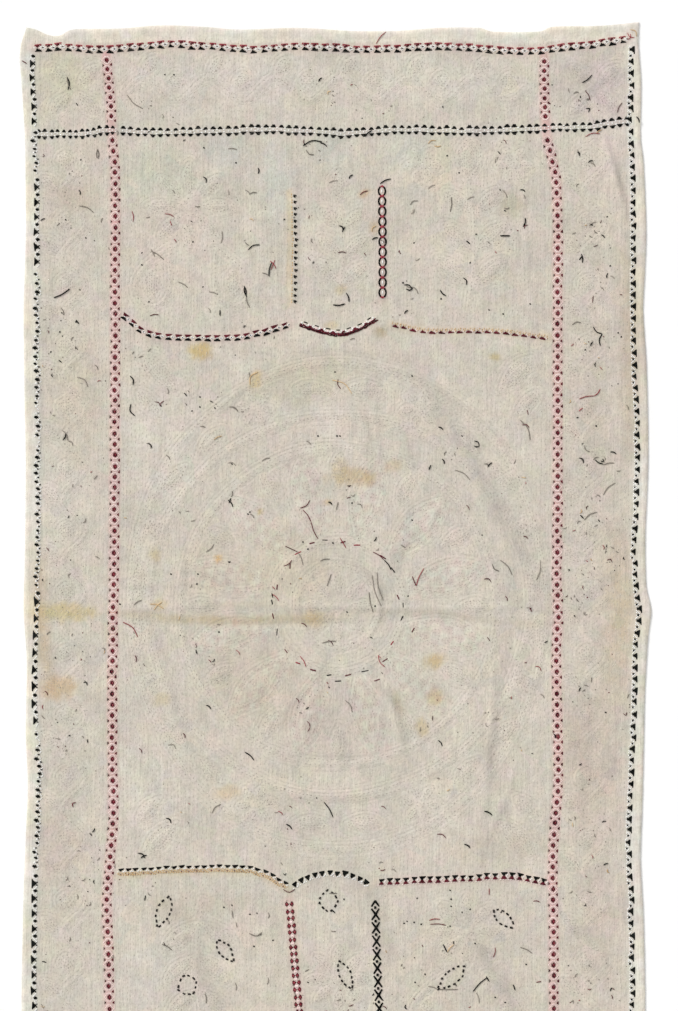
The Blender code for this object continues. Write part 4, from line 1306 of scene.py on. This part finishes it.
# Loose ends of thread, left where each length began and ran out. They lie on the cloth, a little curled.
# Columns: the picture's x and y of one end and of the other, and how far the thread bows to a side between.
LOOSE_ENDS = {
    "k": (
        (228, 149, 237, 150, 1), (258, 168, 258, 174, 1), (203, 177, 206, 183, 2), (151, 251, 164, 260, 1),
        (151, 249, 155, 257, 0), (248, 250, 260, 245, 2), (262, 273, 270, 277, 1), (269, 276, 272, 262, 1),
        (244, 286, 246, 296, 1), (246, 296, 250, 308, -1), (244, 288, 247, 297, -1),
        (220, 310, 220, 316, 0), (428, 189, 435, 185, 1), (520, 190, 525, 192, 1), (524, 195, 525, 199, 0),
        (525, 218, 523, 227, 1), (466, 241, 470, 244, 0), (406, 286, 413, 287, -1),
        (413, 287, 418, 294, 1), (384, 560, 391, 570, 1), (322, 643, 336, 641, 1),
        (249, 933, 262, 934, -2), (258, 935, 262, 932, 0), (205, 993, 206, 1003, 1),
        (473, 991, 487, 977, 1), (486, 976, 489, 981, 0), (428, 986, 437, 989, 1), (513, 984, 515, 990, 0),
        (443, 944, 447, 952, 0), (329, 893, 337, 893, 0), (305, 971, 309, 969, 0), (330, 910, 335, 913, 1),
        (67, 77, 68, 90, 2), (67, 77, 71, 90, -1), (127, 95, 143, 109, -2), (98, 150, 98, 159, 1),
        (76, 103, 78, 106, 0), (79, 190, 80, 195, 1), (329, 183, 338, 181, 1), (349, 179, 353, 175, 1),
        (380, 184, 391, 179, 1), (339, 226, 343, 231, 2), (345, 227, 342, 232, 0), (372, 240, 378, 238, 1),
        (333, 305, 345, 304, -1), (346, 293, 349, 302, 1), (404, 285, 412, 289, 2),
        (406, 289, 413, 288, -2), (500, 236, 510, 236, 0), (130, 376, 133, 385, 2),
        (131, 404, 135, 416, -3), (232, 491, 231, 497, 1), (228, 500, 233, 507, 1),
        (231, 498, 229, 503, 0), (229, 407, 238, 411, 2), (438, 427, 443, 430, 1), (474, 441, 479, 446, 2),
        (479, 446, 474, 446, 1), (442, 459, 444, 464, 1), (484, 464, 488, 467, 2), (488, 467, 492, 463, 1),
        (492, 564, 499, 571, -2), (357, 504, 362, 508, 2), (328, 502, 332, 505, 1),
        (168, 745, 176, 749, 3), (206, 705, 211, 709, 1), (166, 818, 171, 823, 2), (138, 853, 145, 858, 2),
        (141, 858, 147, 855, 1), (324, 802, 333, 817, 1), (245, 752, 254, 760, 1), (286, 824, 292, 829, 1),
        (438, 740, 442, 746, 1), (464, 844, 470, 848, 1), (484, 811, 492, 815, 1), (540, 694, 544, 698, 1),
        (595, 460, 603, 464, -1), (603, 465, 614, 463, 1), (610, 452, 616, 454, 1),
        (579, 458, 583, 463, 2), (584, 520, 597, 512, 2), (603, 495, 615, 483, 2), (582, 83, 592, 75, -1),
        (577, 152, 579, 156, 1), (588, 163, 593, 161, 1), (636, 117, 639, 123, 1), (76, 320, 79, 324, 0),
        (77, 377, 88, 387, 3), (95, 365, 98, 370, 1), (62, 430, 68, 441, 2), (68, 441, 73, 446, 2),
        (66, 433, 63, 440, 1), (410, 205, 418, 201, 2), (414, 209, 411, 214, 1), (467, 200, 474, 197, 1),
        (502, 190, 507, 198, 1), (440, 290, 446, 296, -1), (463, 278, 466, 285, 2),
        (380, 240, 386, 245, 1), (148, 443, 152, 448, 1), (54, 298, 70, 289, -1), (581, 254, 582, 263, 1),
        (582, 256, 579, 260, 0), (303, 146, 322, 142, 3), (306, 150, 314, 155, -2),
        (365, 137, 372, 131, 1), (320, 143, 327, 147, 1), (593, 327, 602, 334, -2),
        (602, 334, 600, 346, -2),
    ),
    "m": (
        (22, 61, 27, 64, 0), (360, 195, 368, 191, 1), (155, 402, 160, 406, 2), (160, 406, 164, 401, 1),
        (338, 253, 346, 253, 1), (364, 253, 366, 256, 0), (398, 251, 401, 254, 0),
        (338, 379, 341, 389, -2), (301, 623, 307, 627, 1), (328, 640, 333, 645, 1),
        (487, 637, 490, 641, 0), (135, 655, 136, 662, 1), (183, 733, 185, 738, 1), (307, 721, 310, 727, 1),
        (310, 727, 308, 731, 0), (437, 834, 446, 838, 2), (381, 806, 386, 809, 1), (585, 91, 590, 101, 1),
        (617, 113, 622, 103, 1), (593, 296, 592, 303, 0), (283, 889, 295, 889, -3),
        (505, 596, 507, 601, 1), (484, 579, 491, 582, 2), (296, 698, 299, 703, 1), (139, 748, 142, 753, 1),
        (522, 425, 529, 428, 2), (527, 410, 528, 415, 0), (466, 505, 469, 510, 1), (523, 536, 528, 539, 1),
        (303, 510, 311, 522, 1), (311, 522, 318, 539, -1), (373, 552, 384, 560, 1),
        (412, 576, 416, 586, 0), (285, 546, 298, 552, 0), (150, 316, 159, 315, 1), (399, 250, 400, 254, 0),
        (503, 140, 506, 144, 1), (430, 924, 446, 925, 1), (533, 901, 540, 902, 1), (536, 982, 541, 981, 0),
        (310, 500, 300, 508, 2), (292, 560, 284, 566, 1),
    ),
    "r": (
        (270, 261, 276, 269, 1), (236, 650, 240, 655, 1), (123, 622, 138, 637, 3), (535, 666, 541, 671, 2),
        (278, 811, 283, 815, 1), (630, 34, 627, 40, 2), (627, 33, 634, 38, -2), (376, 44, 386, 32, 1),
        (340, 538, 346, 548, 0), (416, 586, 424, 568, 1), (132, 211, 133, 222, 1), (165, 214, 174, 217, 1),
        (170, 221, 172, 226, 0), (271, 270, 275, 260, 0), (489, 888, 489, 895, 0), (429, 920, 440, 919, 1),
        (495, 947, 493, 957, 1), (272, 594, 279, 601, 1), (300, 656, 306, 667, 1),
        (378, 655, 385, 667, -2), (579, 399, 594, 396, 1), (594, 396, 600, 389, -1),
        (585, 137, 600, 134, 2),
    ),
    "o": (
        (428, 144, 436, 141, 2), (434, 146, 441, 146, -1), (447, 952, 454, 944, 1),
        (250, 385, 258, 372, 4), (372, 232, 376, 226, 2), (596, 134, 602, 130, 1), (630, 30, 636, 37, 3),
        (150, 604, 164, 609, 2), (154, 610, 162, 602, 1), (332, 380, 352, 394, 4), (214, 440, 222, 436, 1),
    ),
    "g": (
        (572, 325, 581, 323, 2), (79, 206, 94, 213, 2), (97, 158, 98, 149, 1), (589, 226, 596, 222, 1),
        (577, 150, 580, 154, 0), (591, 163, 595, 167, 1), (576, 187, 579, 184, 1), (610, 276, 614, 279, 1),
        (57, 226, 60, 223, 0), (61, 308, 64, 315, 1), (75, 346, 78, 350, 0), (166, 455, 170, 460, 1),
        (262, 461, 270, 458, 1), (228, 463, 236, 466, 2), (233, 408, 238, 412, 1), (249, 372, 250, 378, 0),
        (167, 388, 168, 394, 1), (146, 443, 151, 449, 2), (306, 441, 311, 445, 1), (350, 340, 355, 339, 1),
        (593, 460, 598, 457, 1), (584, 445, 590, 452, -2), (616, 471, 620, 471, 0),
        (596, 495, 600, 497, 1), (626, 405, 628, 410, 1), (250, 514, 254, 518, 1), (212, 813, 221, 804, 2),
        (134, 605, 142, 600, 1), (338, 502, 336, 510, 0), (214, 544, 206, 552, 1), (327, 586, 331, 574, 0),
        (297, 551, 303, 565, 1), (372, 575, 381, 606, -2), (377, 572, 383, 600, -2),
        (369, 592, 373, 612, -1), (320, 561, 330, 559, 1), (345, 700, 352, 712, 2),
        (520, 420, 530, 440, 3), (540, 560, 536, 580, 2), (500, 560, 512, 575, 2), (455, 470, 470, 480, 2),
        (173, 190, 175, 194, 0), (228, 190, 229, 195, 0), (245, 190, 250, 195, 1), (250, 194, 257, 193, 1),
        (222, 231, 221, 243, 1), (178, 282, 188, 288, 1), (209, 292, 218, 295, 1), (208, 308, 210, 313, 1),
        (451, 197, 450, 212, 1), (232, 910, 233, 918, 0), (236, 922, 237, 927, 0), (268, 912, 268, 918, 1),
        (235, 982, 236, 990, 1), (268, 977, 267, 984, 1), (437, 989, 458, 989, 0),
        (476, 992, 479, 1003, 1), (162, 944, 172, 950, 1), (520, 947, 532, 953, 1),
        (331, 931, 336, 931, 0), (146, 218, 150, 217, 0),
    ),
}
# Small knots and clipped ends, where a thread was fastened off on this reverse side. Columns: the picture's
# x and y.
KNOTS = (
    (204, 148), (236, 163), (193, 242), (203, 287), (142, 253), (142, 265), (149, 302), (414, 243),
    (459, 173), (447, 156), (500, 190), (470, 263), (403, 283), (441, 299), (489, 310), (503, 314),
    (530, 304), (257, 913), (250, 914), (254, 946), (273, 940), (224, 907), (232, 905), (450, 890),
    (451, 899), (451, 906), (417, 898), (462, 912), (470, 909), (501, 912), (404, 923), (407, 921),
    (414, 922), (421, 924), (450, 926), (526, 964), (475, 943), (456, 985), (415, 982), (425, 974),
    (495, 997), (505, 1002), (308, 982), (344, 899), (319, 903), (165, 75), (174, 75), (81, 160),
    (200, 397), (215, 408), (192, 411), (198, 574), (197, 584), (230, 562), (219, 632), (596, 426),
    (469, 846), (303, 542), (308, 549), (250, 512), (229, 562), (76, 348), (161, 406), (200, 407),
    (232, 464), (335, 372), (340, 436), (318, 436), (337, 436), (412, 376), (482, 535), (248, 514),
    (607, 217), (610, 266), (585, 350), (618, 333), (621, 337), (76, 322), (66, 220), (86, 238), (80, 290),
    (62, 313), (60, 332), (51, 352), (171, 574), (120, 604), (352, 503), (333, 543), (347, 612),
    (375, 606), (408, 596), (412, 520), (462, 436),
)


ROUND_SIDES = 5


def sweep_thread(points, width):
    """A round thread along smooth points, closed at its ends: its corners and triangles."""
    sides = ROUND_SIDES
    ahead = np.gradient(points, axis=0)
    ahead /= np.linalg.norm(ahead, axis=1)[:, None]
    sideways = np.cross((0.0, 0.0, 1.0), ahead)
    sideways /= np.linalg.norm(sideways, axis=1)[:, None]
    over = np.cross(ahead, sideways)
    turns = np.arange(sides) * 2 * math.pi / sides
    thick = np.full(len(points), width / 2)
    thick[[0, -1]] *= 0.45
    ring = (
        points[:, None, :]
        + thick[:, None, None] * np.cos(turns)[None, :, None] * sideways[:, None, :]
        + thick[:, None, None] * np.sin(turns)[None, :, None] * over[:, None, :]
    ).reshape(-1, 3)
    faces = []
    for step in range(len(points) - 1):
        for side in range(sides):
            a, b = step * sides + side, step * sides + (side + 1) % sides
            faces += [(a, b, b + sides), (a, b + sides, a + sides)]
    last = (len(points) - 1) * sides
    for side in range(1, sides - 1):
        faces += [(0, side + 1, side), (last, last + side, last + side + 1)]
    return ring, np.array(faces)


def lay_ends(name, ends, finish, width):
    """Joins loose ends into one piece. Each is its first end, bend and second end in millimetres."""
    corners, faces, shades, spots, total = [], [], [], [], 0
    side = math.ceil(math.sqrt(len(ends)))
    for index, end in enumerate(ends):
        line = smooth_line(np.array(end).reshape(3, 2), 2.4)
        lift = 0.3 + 0.5 * np.sin(np.linspace(0.3, math.pi - 0.3, len(line)))
        points = np.hstack((line, (cloth_height(line) + lift)[:, None]))
        ring, parts = sweep_thread(points, width * hand.uniform(0.85, 1.15))
        corners.append(ring)
        faces.append(parts + total)
        total += len(ring)
        shades.append(np.full(len(ring), hand.normal(0.3, 0.15)))
        round_it, along_it = np.arange(ROUND_SIDES) / ROUND_SIDES, np.linspace(0, 1, len(points))
        share = np.stack((np.tile(round_it, len(points)), np.repeat(along_it, ROUND_SIDES)), axis=1)
        cell = np.array((index % side, index // side))
        spots.append((cell + 0.1 + 0.8 * share) / side)
    faces = np.vstack(faces)
    flat = np.vstack(spots)[faces.ravel()]
    twist = flat * (side, side * 8.0)
    thread_piece(name, np.vstack(corners), faces, flat, twist, np.concatenate(shades), finish)


loose = {}
for letter, table in LOOSE_ENDS.items():
    for x1, y1, x2, y2, bow in table:
        first, last = on_cloth((x1, y1)), on_cloth((x2, y2))
        across = np.array((first[1] - last[1], last[0] - first[0])) / np.linalg.norm(last - first)
        bend = (first + last) / 2 + bow * PIXEL * across
        faint = letter == "k" and hand.random() < 0.35
        loose.setdefault("g" if faint else letter, []).append(np.concatenate((first, bend, last)))
# Short clipped ends and specks of lint gather in clusters, more of them in the side bands.
CLUSTERS, IN_BANDS, CLIPPED_ENDS, SPECKS = 120, 60, 400, 800
clusters = np.stack((hand.uniform(-310, 310, CLUSTERS), hand.uniform(-810, 800, CLUSTERS)), axis=1)
clusters[:IN_BANDS, 0] = np.where(np.arange(IN_BANDS) % 3, 1, -1) * hand.uniform(340, 425, IN_BANDS)
for index in range(CLIPPED_ENDS):
    spot = clusters[index % CLUSTERS] + hand.normal(0, 12 if index % 3 else 30, 2)
    spot = np.clip(spot, (-430, -820), (430, 812))
    length, angle, bend = hand.uniform(2.5, 8), hand.uniform(0, math.pi), hand.normal(0, 0.22)
    ahead, across = axes_at(angle)
    ends = (spot - length / 2 * ahead, spot + bend * length * across, spot + length / 2 * ahead)
    loose["gkgmggkrggkgmo"[index % 14]].append(np.array(ends).ravel())
for letter, ends in loose.items():
    colour, finish, slot = COLOURS[letter]
    lay_ends(f"loose_ends_{colour}", ends, finish, 1.8 if letter == "k" else 1.2)
knots = {"k": [], "m": [], "g": []}
scattered = clusters[hand.integers(0, CLUSTERS, SPECKS)] + hand.normal(0, 26, (SPECKS, 2))
specks = np.vstack((on_cloth(KNOTS), scattered))
for index, (x, y) in enumerate(np.clip(specks, (-432, -820), (432, 812))):
    is_knot = index < len(KNOTS)
    size = 3.0 if is_knot else hand.uniform(1.2, 2.4)
    angle, width, shade = hand.uniform(0, math.pi), size * hand.uniform(0.6, 0.9), hand.uniform(0.1, 0.6)
    knots["k" if is_knot else "ggkggmg"[index % 7]].append((x, y, angle, size, width, shade))
sew_borders("knots", knots)
